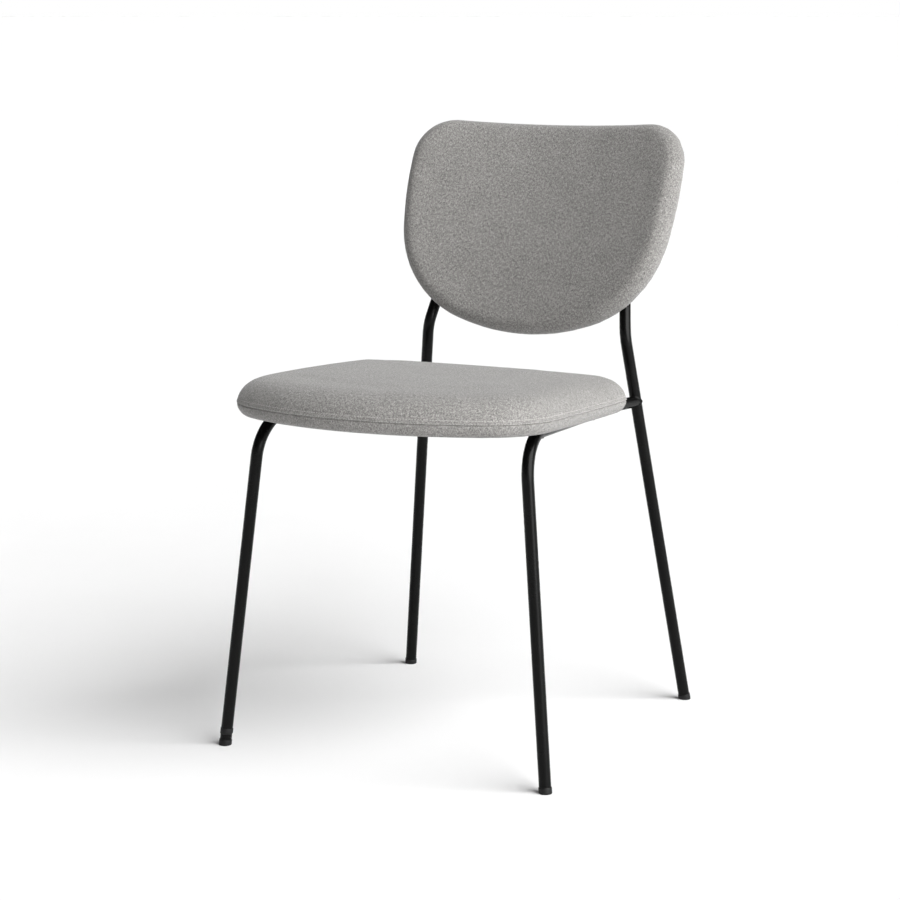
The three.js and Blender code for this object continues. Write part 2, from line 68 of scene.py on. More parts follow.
RINGS_TO_MIDDLE = {"seat": 0.17, "back": 0.175}  # rough distance from a pad's rounded edge to its middle
ROUNDED_EDGE_STEP = 4.5  # degrees from one ring to the next over the seat's rounded edge
RIM_STEP = 6  # the same round the backrest's rim
FRONT_EASING, REAR_EASING = 12, 10  # how many times the start of each of the backrest's crowns is averaged
SEAT_EASING = 10  # the same for the seat's
SEAT_EASED_FROM = 18  # the ring where that easing starts
SEAM_FOLD = (1.5 * MM, 0.8 * MM)  # how far in a panel's first two rings are, where its edge turns in

FORM_VOXEL = 0.007  # mesh size of the form that the padding swells
HOLD_REACH = 0.009  # cloth nearer to the seam than this is held
SWELL_FRAMES = 20
MOST_MOVED = 8 * MM  # how far the form may move
SEAM_REACH = 0.02  # over this distance from the seam the swell comes up to its full height
SEAT_STITCHING, BACK_STITCHING = 2.4 * MM, 3.0 * MM  # distances of the seam stitches from the turned-in edges
PUFF, GROOVE = 0.45 * MM, 0.50 * MM  # between the seam and the topstitching, and under the topstitching
RIPPLE_PERIODS = [0.021, 0.033, 0.014, 0.055]
RIPPLE_SEED = 7

REAR_NORMALS = -1  # the backrest's grid normals come out to the front, so the rear panel's are reversed
DOME_HALF_LENGTH, DOME_HALF_WIDTH = 0.190, 0.200  # from the seat's middle to where its dome ends

RAIL_CLEARANCE = 0.5 * MM  # between the side band and the side rails
STAPLE_INSET = 0.024  # the staples' distance in from the pad's outline
STAPLE_LEVEL = -0.95 * MM  # against the underside of the board
STAPLE_SIZE = (10 * MM, 0.9 * MM, 0.5 * MM)

# Pad outlines: (radius, degrees) arcs from the middle of the front, or of the bottom, round one side.
SEAT_ARCS = [(0.342, 29.9), (0.111, 59.4), (3.0, 4.5), (0.047, 80.9)]
BACK_ARCS = [(0.330, 19.1), (0.153, 62.5), (0.577, 11.2), (0.0625, 86.6)]


# ---------------------------------------------------------------- sizes and colours

def length(name, default, description):
    return bpy.props.FloatProperty(name=name, description=description, default=default, unit="LENGTH")


def run(name, default, description):
    return bpy.props.FloatVectorProperty(
        name=name, description=description, default=default, size=3, subtype="XYZ", unit="LENGTH")


def colour(name, default, description):
    return bpy.props.FloatVectorProperty(
        name=name, description=description, default=default, size=3, subtype="COLOR", min=0, max=1)


def angle(name, degrees, description):
    return bpy.props.FloatProperty(
        name=name, description=description, default=math.radians(degrees), subtype="ANGLE")


def number(name, default, description):
    return bpy.props.FloatProperty(name=name, description=description, default=default)


class ChairTubeSizes(bpy.types.PropertyGroup):
    """Runs are of the right-hand side, from one corner of a tube's centre line to the next."""
    radius: length("Tube radius", 0.008, "Outer radius of the steel tube")
    wall: length("Tube wall", 0.0015, "Wall of the steel tube")
    front_leg: run("Front leg", (-0.0453, 0.0301, 0.4525), "From the front foot to the side rail")
    side_rail: run("Side rail", (-0.0323, 0.3532, -0.0107), "From the front leg to the rear bend")
    rail_end: run("Rail end", (0.0054, 0.0649, -0.0020), "From the rear bend to the rear leg")
    front_bend: length("Front bend", 0.060, "Bend radius of front leg into side rail")
    rail_bend: length("Rail bend", 0.120, "Radius of the slight bend before the rear leg")
    rear_leg: run("Rear leg", (-0.0693, -0.0717, 0.534), "From the rear foot to the upright")
    upright: run("Upright", (-0.0092, 0.0193, 0.050), "From the rear leg's bend to the backrest")
    inner: run("Inner upright", (-0.0115, 0.0395, 0.088), "The upright's run inside the backrest")
    rear_bend: length("Rear bend", 0.055, "Bend radius of rear leg into upright")
    inner_bend: length("Inner bend", 0.150, "Bend radius of the upright as it enters the backrest")
    front_cross: length("Front cross rail", 0.0925, "How far the front cross rail is behind the front feet")
    rear_cross: length("Rear cross rail", 0.2925, "How far the rear cross rail is behind the front feet")
    bead: length("Weld bead", 0.0024, "Radius of the weld beads")
    cap_radius: length("Foot cap radius", 0.0087, "Outer radius of a foot cap")
    cap_height: length("Foot cap height", 0.0083, "Height of a foot cap along the leg")
    plug_radius: length("Plug radius", 0.0059, "Radius of a foot cap's plug inside the tube")
    plug_height: length("Plug height", 0.016, "Length of a foot cap's plug")


class ChairSeatSizes(bpy.types.PropertyGroup):
    """The seat pad. Heights are above the underside of its board."""
    setback: length("Setback", 0.0965, "How far the seat's origin is behind the front feet")
    lift: length("Lift", 0.0092, "Height of the seat board above the side rails' centre line")
    pitch: angle("Pitch", 1.736, "Fall of the seat to the rear")
    front: length("Front", -0.187, "Front edge of the pad")
    centre: length("Centre", 0.030, "Middle of the pad's crown")
    seam: length("Seam height", 0.0114, "Height of the seam between top panel and side band")
    edge_inset: length("Edge inset", 0.0466, "How far in the rounded edge ends")
    edge_rise: length("Edge rise", 0.0326, "Rise of the rounded edge above the seam")
    crown: length("Crown", 0.005, "Rise of the crown above the rounded edge")
    side_dome: length("Side dome", 0.0022, "How much higher the middle of each side is than its ends")
    rear_dome: length("Rear dome", 0.0018, "How much higher the middle is than the sides")
    corner_easing: number("Corner easing", 40, "How much the corners of the crown are rounded")
    topstitch: length("Topstitch", 0.0068, "Distance of the topstitching from the seam")


class ChairBackSizes(bpy.types.PropertyGroup):
    """The backrest, drawn flat, u across and v up, and then rolled round an upright cylinder."""
    setback: length("Setback", -0.0205, "How far the backrest's centre is behind the rear feet")
    height: length("Height", 0.6722, "Height of the backrest's centre above the floor")
    tilt: angle("Tilt", 22.2, "Lean of the backrest to the rear")
    roll: length("Roll", 0.770, "Radius that the backrest is curved to")
    bottom: length("Bottom", -0.1549, "Lower edge below the centre")
    rim: length("Rim", 0.020, "Radius of the padded rim")
    front_crown: length("Front crown", 0.004, "Rise of the front face")
    rear_crown: length("Rear crown", 0.0115, "Rise of the rear face")
    seam: angle("Closing seam", 30, "Where the closing seam lies, round the rim to the rear")


class ChairFabricSizes(bpy.types.PropertyGroup):
    """Fabric, stitches and fixings."""
    wall: length("Cover thickness", 0.0008, "Thickness of the upholstery")
    spacing: length("Mesh spacing", 0.0042, "Spacing of the points on the covers")
    stitch: length("Stitch pitch", 0.0038, "Distance from one stitch to the next")
    thread: length("Thread radius", 0.00042, "Radius of the sewing thread")
    swell: length("Swell", 0.0020, "Most that the padding lifts the cover")
    staple: length("Staple pitch", 0.032, "Distance from one staple to the next under the seat")
    yarn: length("Yarn pitch", 0.00125, "Pitch of the woven yarns")


class ChairColours(bpy.types.PropertyGroup):
    """Base colours, as linear values."""
    fabric_dark: colour("Dark yarn", (0.074, 0.0715, 0.068), "Dark fibres of the melange yarn")
    fabric_mid: colour("Middle yarn", (0.172, 0.167, 0.160), "Main fibres of the melange yarn")
    fabric_light: colour("Light yarn", (0.345, 0.336, 0.322), "Light fibres of the melange yarn")
    thread: colour("Thread", (0.38, 0.372, 0.357), "Sewing thread")
    paint: colour("Paint", (0.0017, 0.0017, 0.0016), "Powder coat on the steel tube")
    plastic: colour("Plastic", (0.0028, 0.0028, 0.0028), "Foot caps")
    zinc: colour("Zinc", (0.58, 0.59, 0.60), "Nuts and inserts")
    lining: colour("Lining", (0.011, 0.011, 0.012), "Dust cover under the seat")
    foam: colour("Foam", (0.74, 0.69, 0.50), "Foam padding")
    wood: colour("Wood", (0.52, 0.36, 0.19), "Plywood of the seat board and back panel")


class ChairStage(bpy.types.PropertyGroup):
    """The floor, the lights and the camera."""
    azimuth: angle("Azimuth", 27.31, "Camera's turn from straight ahead to the chair's right-hand side")
    elevation: angle("Elevation", 9.743, "Camera's height as an angle")
    distance: length("Distance", 3.5, "From the camera to the point that it looks at")
    aim: run("Aim", (0.0010, -0.0350, 0.3951), "Point that the camera looks at")
    lens: number("Lens", 103.02, "Focal length in millimetres on a 36 mm sensor")
    floor: colour("Floor", (0.88, 0.88, 0.88), "Colour of the floor")
    floor_radius: length("Floor radius", 300.0, "Radius of the floor, out to its horizon")
    sky: number("Surroundings", 0.07, "Strength of the light from overhead, above the white horizon")
    key: number("Key light", 6.5, "Strength of the large soft light")
    softness: angle("Softness", 64, "How wide the large soft light looks from the chair")
    fill: number("Fill light", 4.0, "Power of the weak light at the front, in watts")


PROPERTY_GROUPS = {
    "chair_tubes": ChairTubeSizes,
    "chair_seat": ChairSeatSizes,
    "chair_back": ChairBackSizes,
    "chair_fabric": ChairFabricSizes,
    "chair_colours": ChairColours,
    "chair_stage": ChairStage,
}


# ---------------------------------------------------------------- materials

class Signal:
    """A value that varies over a surface. Expressions on it add Math nodes to its finish."""

    def __init__(self, finish, socket):
        self.finish = finish
        self.socket = socket

    def maths(self, operation, *values):
        return self.finish.node("Math", {"operation": operation}, dict(enumerate(values)))

    def __add__(self, other):
        return self.maths("ADD", self, other)

    def __radd__(self, other):
        return self.maths("ADD", other, self)

    def __sub__(self, other):
        return self.maths("SUBTRACT", self, other)

    def __rsub__(self, other):
        return self.maths("SUBTRACT", other, self)

    def __mul__(self, other):
        return self.maths("MULTIPLY", self, other)

    def __rmul__(self, other):
        return self.maths("MULTIPLY", other, self)

    def sine(self):
        return self.maths("SINE", self)

    def size(self):
        return self.maths("ABSOLUTE", self)


class Finish:
    """One material, its Principled shader and the nodes that feed it."""

    def __init__(self, name):
        self.material = bpy.data.materials.new(name)
        self.material.use_nodes = True
        self.tree = self.material.node_tree
        self.shader = next(n for n in self.tree.nodes if n.type == "BSDF_PRINCIPLED")

    def feed(self, socket, value):
        if isinstance(value, Signal):
            self.tree.links.new(value.socket, socket)
        else:
            socket.default_value = value

    def node(self, kind, settings=None, sockets=None, output=0):
        made = self.tree.nodes.new("ShaderNode" + kind)
        for name, value in (settings or {}).items():
            if name == "stops":
                self.set_stops(made.color_ramp, value)
            else:
                setattr(made, name, value)
        for key, value in (sockets or {}).items():
            self.feed(made.inputs[key], value)
        return Signal(self, made.outputs[output])

    @staticmethod
    def set_stops(ramp, stops):
        while len(ramp.elements) < len(stops):
            ramp.elements.new(1.0)
        for element, (place, shade) in zip(ramp.elements, stops):
            element.position = place
            element.color = (*shade, 1.0)

    def shade(self, values):
        for name, value in values.items():
            self.feed(self.shader.inputs[name], value)
        return self.material

    def place(self):
        return self.node("TexCoord", output="Object")

    def stretched(self, source, scale, turn=(0, 0, 0)):
        return self.node("Mapping", sockets={"Vector": source, "Scale": scale, "Rotation": turn})

    def noise(self, source, scale, detail=2.0, roughness=0.5):
        return self.node("TexNoise", sockets={
            "Vector": source, "Scale": scale, "Detail": detail, "Roughness": roughness})

    def bump(self, height, distance, strength=1.0):
        return self.node("Bump", sockets={"Height": height, "Distance": distance, "Strength": strength})

    def ramp(self, factor, stops):
        return self.node("ValToRGB", {"stops": stops}, {"Fac": factor})


def scaled(shade, factor):
    return tuple(min(1.0, part * factor) for part in shade)


def woven_fabric(colours, sizes):
    """A melange twill: its yarns run with the piece's own UV map, which is in metres."""
    finish = Finish("melange_weave")
    flat = finish.node("TexCoord", output="UV")
    apart = finish.node("SeparateXYZ", sockets={0: flat})
    across = apart * (1 / sizes.yarn)
    up = Signal(finish, apart.socket.node.outputs[1]) * (1 / sizes.yarn)
    warp = (across * math.pi).sine().size()
    weft = (up * math.pi).sine().size()
    twill = ((across + up) * (2 * math.pi / 3)).sine() * 0.5 + 0.5
    height = warp * twill + weft * (1 - twill)
    slub_scale = 1.25 / sizes.yarn
    warp_fibres = finish.noise(finish.stretched(flat, (1, 0.34, 1), (0, 0, 0.35)), slub_scale, 1.0, 0.6)
    weft_fibres = finish.noise(finish.stretched(flat, (0.5, 1, 1)), slub_scale, 1.0, 0.6)
    fibres = warp_fibres * twill + weft_fibres * (1 - twill)
    cloudy = finish.noise(flat, 26.0, 2.0)
    mottle = finish.noise(flat, 0.30 / sizes.yarn, 2.0, 0.6)
    # height * 0.16 paints the yarns' crowns lighter and the gaps between them darker: painted light and shade
    # over the weave, on top of the yarns' own fibre tones.
    fleck = fibres + height * 0.16 + cloudy * 0.08 + mottle * 0.34 - 0.29
    shade = finish.ramp(fleck, [
        (0.33, colours.fabric_dark), (0.50, colours.fabric_mid), (0.69, colours.fabric_light)])
    relief = height * 0.7 + fibres * 0.6
    return finish.shade({
        "Base Color": shade, "Roughness": 0.95, "Sheen Weight": 0.22, "Sheen Roughness": 0.55,
        "Specular IOR Level": 0.18, "Normal": finish.bump(relief, 0.00030, 0.65)})


def sewing_thread(colours):
    finish = Finish("sewing_thread")
    twist = finish.noise(finish.place(), 2400.0, 1.0)
    shade = finish.ramp(twist, [(0.3, scaled(colours.thread, 0.7)), (0.7, scaled(colours.thread, 1.15))])
    return finish.shade({
        "Base Color": shade, "Roughness": 0.7, "Sheen Weight": 0.2,
        "Normal": finish.bump(twist, 0.0001, 0.5)})


def powder_coat(colours):
    finish = Finish("black_powder_coat")
    place = finish.place()
    orange_peel = finish.noise(place, 620.0, 2.0)
    handling = finish.noise(place, 34.0, 3.0)
    shade = finish.ramp(handling, [(0.35, scaled(colours.paint, 0.85)), (0.7, scaled(colours.paint, 1.35))])
    return finish.shade({
        "Base Color": shade, "Roughness": handling * 0.10 + orange_peel * 0.05 + 0.19,
        "Specular IOR Level": 0.12, "Normal": finish.bump(orange_peel, 0.00012, 0.35)})


def moulded_plastic(colours):
    finish = Finish("black_moulded_plastic")
    place = finish.place()
    grain = finish.noise(place, 1500.0, 2.0)
    scuffs = finish.noise(finish.stretched(place, (1, 1, 6)), 180.0, 3.0)
    shade = finish.ramp(scuffs, [(0.45, colours.plastic), (0.78, scaled(colours.plastic, 2.6))])
    return finish.shade({
        "Base Color": shade, "Roughness": scuffs * 0.2 + 0.40, "Specular IOR Level": 0.25,
        "Normal": finish.bump(grain, 0.00008, 0.4)})


def zinc_plate(colours):
    finish = Finish("zinc_plate")
    place = finish.place()
    spangle = finish.noise(place, 420.0, 3.0, 0.6)
    turning = finish.noise(finish.stretched(place, (1, 1, 14)), 900.0, 1.0)
    shade = finish.ramp(spangle, [(0.3, scaled(colours.zinc, 0.82)), (0.7, scaled(colours.zinc, 1.08))])
    return finish.shade({
        "Base Color": shade, "Metallic": 1.0, "Roughness": spangle * 0.2 + turning * 0.12 + 0.16,
        "Normal": finish.bump(turning, 0.00006, 0.4)})


def black_steel(colours):
    finish = Finish("black_zinc_screw")
    place = finish.place()
    pits = finish.noise(place, 700.0, 3.0)
    shade = finish.ramp(pits, [(0.3, scaled(colours.paint, 1.0)), (0.75, scaled(colours.paint, 2.4))])
    return finish.shade({
        "Base Color": shade, "Metallic": 0.6, "Roughness": pits * 0.2 + 0.26,
        "Normal": finish.bump(pits, 0.00008, 0.4)})


def plywood(colours):
    finish = Finish("birch_plywood")
    place = finish.place()
    grain = finish.noise(finish.stretched(place, (5, 60, 60)), 6.0, 4.0, 0.6)
    plies = (finish.node("SeparateXYZ", sockets={0: place}, output=2) * (math.pi / 0.0014)).sine()
    shade = finish.ramp(grain + plies * 0.06, [
        (0.3, scaled(colours.wood, 0.72)), (0.55, colours.wood), (0.8, scaled(colours.wood, 1.22))])
    return finish.shade({
        "Base Color": shade, "Roughness": grain * 0.2 + 0.55,
        "Normal": finish.bump(grain, 0.0003, 0.4)})


def open_cell_foam(colours):
    finish = Finish("open_cell_foam")
    cells = finish.node("TexVoronoi", sockets={"Vector": finish.place(), "Scale": 900.0})
    # The middle of each cell, where the bump sinks into a pore, is painted darker: painted shade in the
    # pores.
    shade = finish.ramp(cells, [(0.05, scaled(colours.foam, 0.6)), (0.5, colours.foam)])
    return finish.shade({
        "Base Color": shade, "Roughness": 0.95, "Normal": finish.bump(cells, 0.0004, 0.7)})


def dust_cloth(colours):
    finish = Finish("nonwoven_dust_cloth")
    place = finish.place()
    fibres = finish.noise(finish.stretched(place, (3, 1, 1), (0, 0, 0.6)), 520.0, 4.0, 0.7)
    dimples = finish.node("TexVoronoi", sockets={"Vector": place, "Scale": 420.0})
    shade = finish.ramp(fibres, [(0.3, scaled(colours.lining, 0.8)), (0.75, scaled(colours.lining, 2.4))])
    return finish.shade({
        "Base Color": shade, "Roughness": 0.9, "Sheen Weight": 0.15,
        "Normal": finish.bump(fibres * 0.6 + dimples, 0.0002, 0.6)})


def pale_floor(stage):
    finish = Finish("pale_floor")
    mottle = finish.noise(finish.place(), 3.0, 3.0)
    shade = finish.ramp(mottle, [(0.3, scaled(stage.floor, 0.985)), (0.7, stage.floor)])
    return finish.shade({"Base Color": shade, "Roughness": 0.9})


FINISHES = {}


def finish_for(name):
    """Makes each finish the first time that a piece asks for it."""
    scene = bpy.context.scene
    makers = {
        "upholstery": lambda: woven_fabric(scene.chair_colours, scene.chair_fabric),
        "thread": lambda: sewing_thread(scene.chair_colours),
        "paint": lambda: powder_coat(scene.chair_colours),
        "plastic": lambda: moulded_plastic(scene.chair_colours),
        "zinc": lambda: zinc_plate(scene.chair_colours),
        "screw": lambda: black_steel(scene.chair_colours),
        "plywood": lambda: plywood(scene.chair_colours),
        "foam": lambda: open_cell_foam(scene.chair_colours),
        "lining": lambda: dust_cloth(scene.chair_colours),
    }
    if name not in FINISHES:
        FINISHES[name] = makers[name]()
    return FINISHES[name]


# ---------------------------------------------------------------- modelling helpers

def start_piece():
    """Leaves edit mode and deselects everything, so that the next operator acts on its own piece only."""
    if bpy.context.object and bpy.context.object.mode != "OBJECT":
        bpy.ops.object.mode_set(mode="OBJECT")
    bpy.ops.object.select_all(action="DESELECT")


def only(piece):
    """Selects one piece and makes it the active one."""
    start_piece()
    piece.select_set(True)
    bpy.context.view_layer.objects.active = piece
    return piece


def settle(piece):
    """Puts the piece's place into its mesh and its origin at the frame's."""
    only(piece)
    bpy.ops.object.transform_apply(location=True, rotation=True, scale=True)
    return piece


def edit(piece):
    only(piece)
    bpy.ops.object.mode_set(mode="EDIT")
    bpy.ops.mesh.select_all(action="SELECT")


def leave_edit():
    bpy.ops.object.mode_set(mode="OBJECT")


def modify(piece, kind, **settings):
    """Adds a modifier and applies it."""
    only(piece)
    modifier = piece.modifiers.new(kind.lower(), kind)
    for name, value in settings.items():
        setattr(modifier, name, value)
    bpy.ops.object.modifier_apply(modifier=modifier.name)


def tidy(piece):
    """Merges doubles and turns every face outwards."""
    edit(piece)
    bpy.ops.mesh.remove_doubles(threshold=1e-6)
    bpy.ops.mesh.normals_make_consistent(inside=False)
    leave_edit()


def smooth(piece, degrees=40):
    """Shades a piece smooth, apart from edges sharper than an angle."""
    only(piece)
    bpy.ops.object.shade_smooth_by_angle(angle=math.radians(degrees))


def done(piece, finish, replaced=()):
    """Gives a piece its material and its body, and hides the CAD nodes that it stands for."""
    piece.data.materials.clear()
    piece.data.materials.append(finish_for(finish))
    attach(piece, "root")
    if replaced:
        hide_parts(*replaced)
    return piece


def facing(direction):
    """The turn that brings a primitive's Z axis to a direction."""
    return direction.to_track_quat("Z", "Y").to_euler()


def coordinates(piece):
    flat = np.empty(len(piece.data.vertices) * 3)
    piece.data.vertices.foreach_get("co", flat)
    return flat.reshape(-1, 3)


def set_coordinates(piece, points):
    piece.data.vertices.foreach_set("co", points.astype(float).ravel())
    piece.data.update()


def mesh_piece(name, points, faces, uvs=None):
    """An object from points, faces and, where a pattern follows it, one UV for each corner of each face."""
    mesh = bpy.data.meshes.new(name)
    mesh.from_pydata([tuple(p) for p in points], [], faces)
    if uvs is not None:
        layer = mesh.uv_layers.new(name="cloth")
        layer.data.foreach_set("uv", np.asarray(uvs, float).ravel())
    mesh.update()
    piece = bpy.data.objects.new(name, mesh)
    bpy.context.scene.collection.objects.link(piece)
    return piece


def scatter(name, model, places):
    """One mesh with a copy of a small model at each place."""
    points = coordinates(model)
    faces = [tuple(face.vertices) for face in model.data.polygons]
    all_points, all_faces = [], []
    for index, place in enumerate(places):
        turn = np.array(place)[:3, :3]
        all_points.append(points @ turn.T + np.array(place.translation))
        all_faces += [tuple(v + index * len(points) for v in face) for face in faces]
    bpy.data.objects.remove(model)
    return mesh_piece(name, np.vstack(all_points), all_faces)


# ---------------------------------------------------------------- tubes

def corner_chain(start, runs, side):
    """Corners of a centre line from a foot, along runs that are mirrored for the left side."""
    corners = [start.copy()]
    for step in runs:
        corners.append(corners[-1] + Vector((side * step[0], step[1], step[2])))
    return corners


def front_line(side_name):
    """Corners of a front leg and its side rail, from the foot to the rear leg."""
    sizes, side = bpy.context.scene.chair_tubes, SIDES[side_name]
    foot = FEET["foot_front_" + side_name]
    return corner_chain(foot, [sizes.front_leg, sizes.side_rail, sizes.rail_end], side)


def rear_line(side_name):
    """Corners of a rear leg and its upright, from the foot to the end inside the backrest."""
    sizes, side = bpy.context.scene.chair_tubes, SIDES[side_name]
    foot = FEET["foot_rear_" + side_name]
    return corner_chain(foot, [sizes.rear_leg, sizes.upright, sizes.inner], side)


def bent_tube(name, corners, bends):
    """A ring of points drawn out along the straights and spun round the bends, with a wall inside it."""
    sizes = bpy.context.scene.chair_tubes
    heading = (corners[1] - corners[0]).normalized()
    start_piece()
    bpy.ops.mesh.primitive_circle_add(
        vertices=TUBE_SIDES, radius=sizes.radius, location=corners[0], rotation=facing(heading))
    tube = bpy.context.object
    tube.name = name
    settle(tube)
    edit(tube)
    here = corners[0]
    for corner, after, bend in zip(corners[1:-1], corners[2:], bends):
        leaving = (after - corner).normalized()
        turn = heading.angle(leaving)
        start = corner - heading * bend * math.tan(turn / 2)
        inward = (leaving - heading * leaving.dot(heading)).normalized()
        bpy.ops.mesh.extrude_region_move(TRANSFORM_OT_translate={"value": start - here})
        bpy.ops.mesh.spin(
            steps=max(3, round(math.degrees(turn) / BEND_STEP)), angle=-turn,
            center=start + inward * bend, axis=heading.cross(leaving).normalized())
        heading, here = leaving, corner + leaving * bend * math.tan(turn / 2)
    bpy.ops.mesh.extrude_region_move(TRANSFORM_OT_translate={"value": corners[-1] - here})
    leave_edit()
    tidy(tube)
    modify(tube, "SOLIDIFY", thickness=sizes.wall, offset=-1)
    return tube


def cope(tube, end, axis):
    """Cuts a tube's end to sit round another tube whose centre line runs through end along axis."""
    sizes = bpy.context.scene.chair_tubes
    start_piece()
    bpy.ops.mesh.primitive_cylinder_add(
        vertices=64, radius=sizes.radius + COPE_GAP, depth=10 * sizes.radius, location=end,
        rotation=facing(axis))
    cutter = bpy.context.object
    modify(tube, "BOOLEAN", operation="DIFFERENCE", object=cutter, solver="EXACT")
    bpy.data.objects.remove(cutter)


def weld_bead(name, end, along, axis, ripples):
    """A bead of weld round the joint where a tube that arrives along a direction meets another tube."""
    sizes = bpy.context.scene.chair_tubes
    around, across = 96, 12  # points round the tube and round the bead
    start_piece()
    bpy.ops.mesh.primitive_torus_add(
        major_segments=around, minor_segments=across, major_radius=sizes.radius, minor_radius=sizes.bead)
    bead = bpy.context.object
    bead.name = name
    side = along.cross(axis).normalized()
    lift = side.cross(along).normalized()
    tilt = along.dot(axis)
    points = []
    for i in range(around):
        turn = 2 * math.pi * i / around
        spoke = side * math.cos(turn) + lift * math.sin(turn)
        # Back along the tube from the point on its wall to the surface of the other tube
        wall = spoke * sizes.radius
        flat_wall = wall - axis * wall.dot(axis)
        flat_along = -along + axis * tilt
        a, b = flat_along.dot(flat_along), 2 * flat_wall.dot(flat_along)
        c = flat_wall.dot(flat_wall) - sizes.radius ** 2
        back = (-b + math.sqrt(max(b * b - 4 * a * c, 0))) / (2 * a)
        centre = end + wall - along * back
        out = (centre - end - axis * (centre - end).dot(axis)).normalized()
        outward = (spoke + out).normalized()
        crossing = (out - spoke).normalized() if (out - spoke).length > 1e-4 else -along
        swell = sizes.bead * (1 + RIPPLE_HEIGHT * math.cos(ripples * turn))
        for j in range(across):
            roll = 2 * math.pi * j / across
            height = outward * swell * BEAD_HEIGHT * math.cos(roll)
            points.append(centre + height + crossing * swell * math.sin(roll))
    set_coordinates(bead, np.array(points))
    settle(bead)
    tidy(bead)
    smooth(bead, 60)
    return done(bead, "paint")


class CHAIR_OT_legs(bpy.types.Operator):
    """Bend the front legs into the side rails and the rear legs into the uprights"""
    bl_idname = "chair.legs"
    bl_label = "Legs"

    def execute(self, context):
        sizes = context.scene.chair_tubes
        for side in SIDES:
            front, rear = front_line(side), rear_line(side)
            rear_axis = (rear[1] - rear[0]).normalized()
            for corners in (front, rear):
                corners[0] += (corners[1] - corners[0]).normalized() * (sizes.cap_height + OPEN_GAP)
            leg = bent_tube("front_leg_tube_" + side, front, [sizes.front_bend, sizes.rail_bend])
            cope(leg, front[-1], rear_axis)
            smooth(leg)
            done(leg, "paint", ["front_leg_" + side])
            leg = bent_tube("rear_leg_tube_" + side, rear, [sizes.rear_bend, sizes.inner_bend])
            smooth(leg)
            done(leg, "paint", ["rear_leg_" + side])
            along = (front[-1] - front[-2]).normalized()
            weld_bead("rail_weld_" + side, front[-1], along, rear_axis, RAIL_RIPPLES)
        return {"FINISHED"}


class CHAIR_OT_cross_rails(bpy.types.Operator):
    """Fit the two cross rails between the side rails and weld them"""
    bl_idname = "chair.cross_rails"
    bl_label = "Cross rails"

    def execute(self, context):
        sizes = context.scene.chair_tubes
        for end, setback in (("front", sizes.front_cross), ("rear", sizes.rear_cross)):
            ends, axes = [], []
            for side in SIDES:
                corners = front_line(side)
                rail = corners[2] - corners[1]
                level = FEET["foot_front_" + side].y + setback
                ends.append(corners[1] + rail * ((level - corners[1].y) / rail.y))
                axes.append(rail.normalized())
            rail_tube = bent_tube(end + "_cross_tube", ends, [])
            for place, axis in zip(ends, axes):
                cope(rail_tube, place, axis)
            smooth(rail_tube)
            done(rail_tube, "paint", [end + "_cross_rail"])
            along = (ends[1] - ends[0]).normalized()
            for (side, sign), place, axis in zip(SIDES.items(), ends, axes):
                weld_bead(f"{end}_cross_weld_{side}", place, along * sign, axis, CROSS_RIPPLES)
        return {"FINISHED"}


class CHAIR_OT_foot_caps(bpy.types.Operator):
    """Turn the four plastic foot caps, cut level at the floor, with their plugs in the tubes"""
    bl_idname = "chair.foot_caps"
    bl_label = "Foot caps"

    def execute(self, context):
        sizes = context.scene.chair_tubes
        for end, line in (("front", front_line), ("rear", rear_line)):
            for side in SIDES:
                corners = line(side)
                axis = (corners[1] - corners[0]).normalized()
                height = sizes.cap_height + CAP_BURIED
                start_piece()
                bpy.ops.mesh.primitive_cylinder_add(
                    vertices=48, radius=sizes.cap_radius, depth=height,
                    location=corners[0] + axis * (height / 2 - CAP_BURIED), rotation=facing(axis))
                cap = bpy.context.object
                cap.name = f"foot_cap_moulding_{end}_{side}"
                settle(cap)
                edit(cap)
                bpy.ops.mesh.bisect(
                    plane_co=(0, 0, CAP_CUT), plane_no=(0, 0, 1), use_fill=True, clear_inner=True)
                leave_edit()
                self.select_top(cap, axis)
                bpy.ops.mesh.inset(thickness=sizes.cap_radius - sizes.plug_radius)
                bpy.ops.mesh.extrude_region_move(
                    TRANSFORM_OT_translate={"value": axis * sizes.plug_height})
                leave_edit()
                tidy(cap)
                modify(cap, "BEVEL", width=1.0 * MM, segments=4, limit_method="ANGLE",
                       angle_limit=math.radians(50))
                smooth(cap, 50)
                done(cap, "plastic", [f"foot_cap_{end}_{side}"])
        return {"FINISHED"}

    @staticmethod
    def select_top(cap, axis):
        for face in cap.data.polygons:
            face.select = face.normal.dot(axis) > 0.99
        only(cap)
        bpy.ops.object.mode_set(mode="EDIT")
        bpy.ops.mesh.select_mode(type="FACE")


# ---------------------------------------------------------------- pads

def outline(start, arcs, spacing):
    """Places and outward directions round a pad, from the middle of its front. A last arc closes it."""
    places, outward = [], []
    state = {"heading": 0.0, "x": 0.0, "y": start}

    def add_arc(radius, turn):
        heading = state["heading"]
        centre_x = state["x"] - radius * math.sin(heading)
        centre_y = state["y"] + radius * math.cos(heading)
        steps = max(2, round(radius * turn / spacing))
        for i in range(steps):
            now = heading + turn * i / steps
            outward.append((math.sin(now), -math.cos(now)))
            places.append((centre_x + radius * math.sin(now), centre_y - radius * math.cos(now)))
        heading += turn
        state["heading"] = heading
        state["x"] = centre_x + radius * math.sin(heading)
        state["y"] = centre_y - radius * math.cos(heading)

    for radius, degrees in arcs:
        add_arc(radius, math.radians(degrees))
    add_arc(state["x"] / math.sin(state["heading"]), math.pi - state["heading"])
    places.append((0.0, state["y"]))
    outward.append((0.0, 1.0))
    mirror = np.array([-1, 1])
    places, outward = np.array(places), np.array(outward)
    return (np.vstack([places, places[-2:0:-1] * mirror]),
            np.vstack([outward, outward[-2:0:-1] * mirror]))


def evenly(low, high, spacing):
    """Values from low to high, about a spacing apart, without low itself."""
    steps = max(1, round(abs(high - low) / spacing))
    return [low + (high - low) * i / steps for i in range(1, steps + 1)]


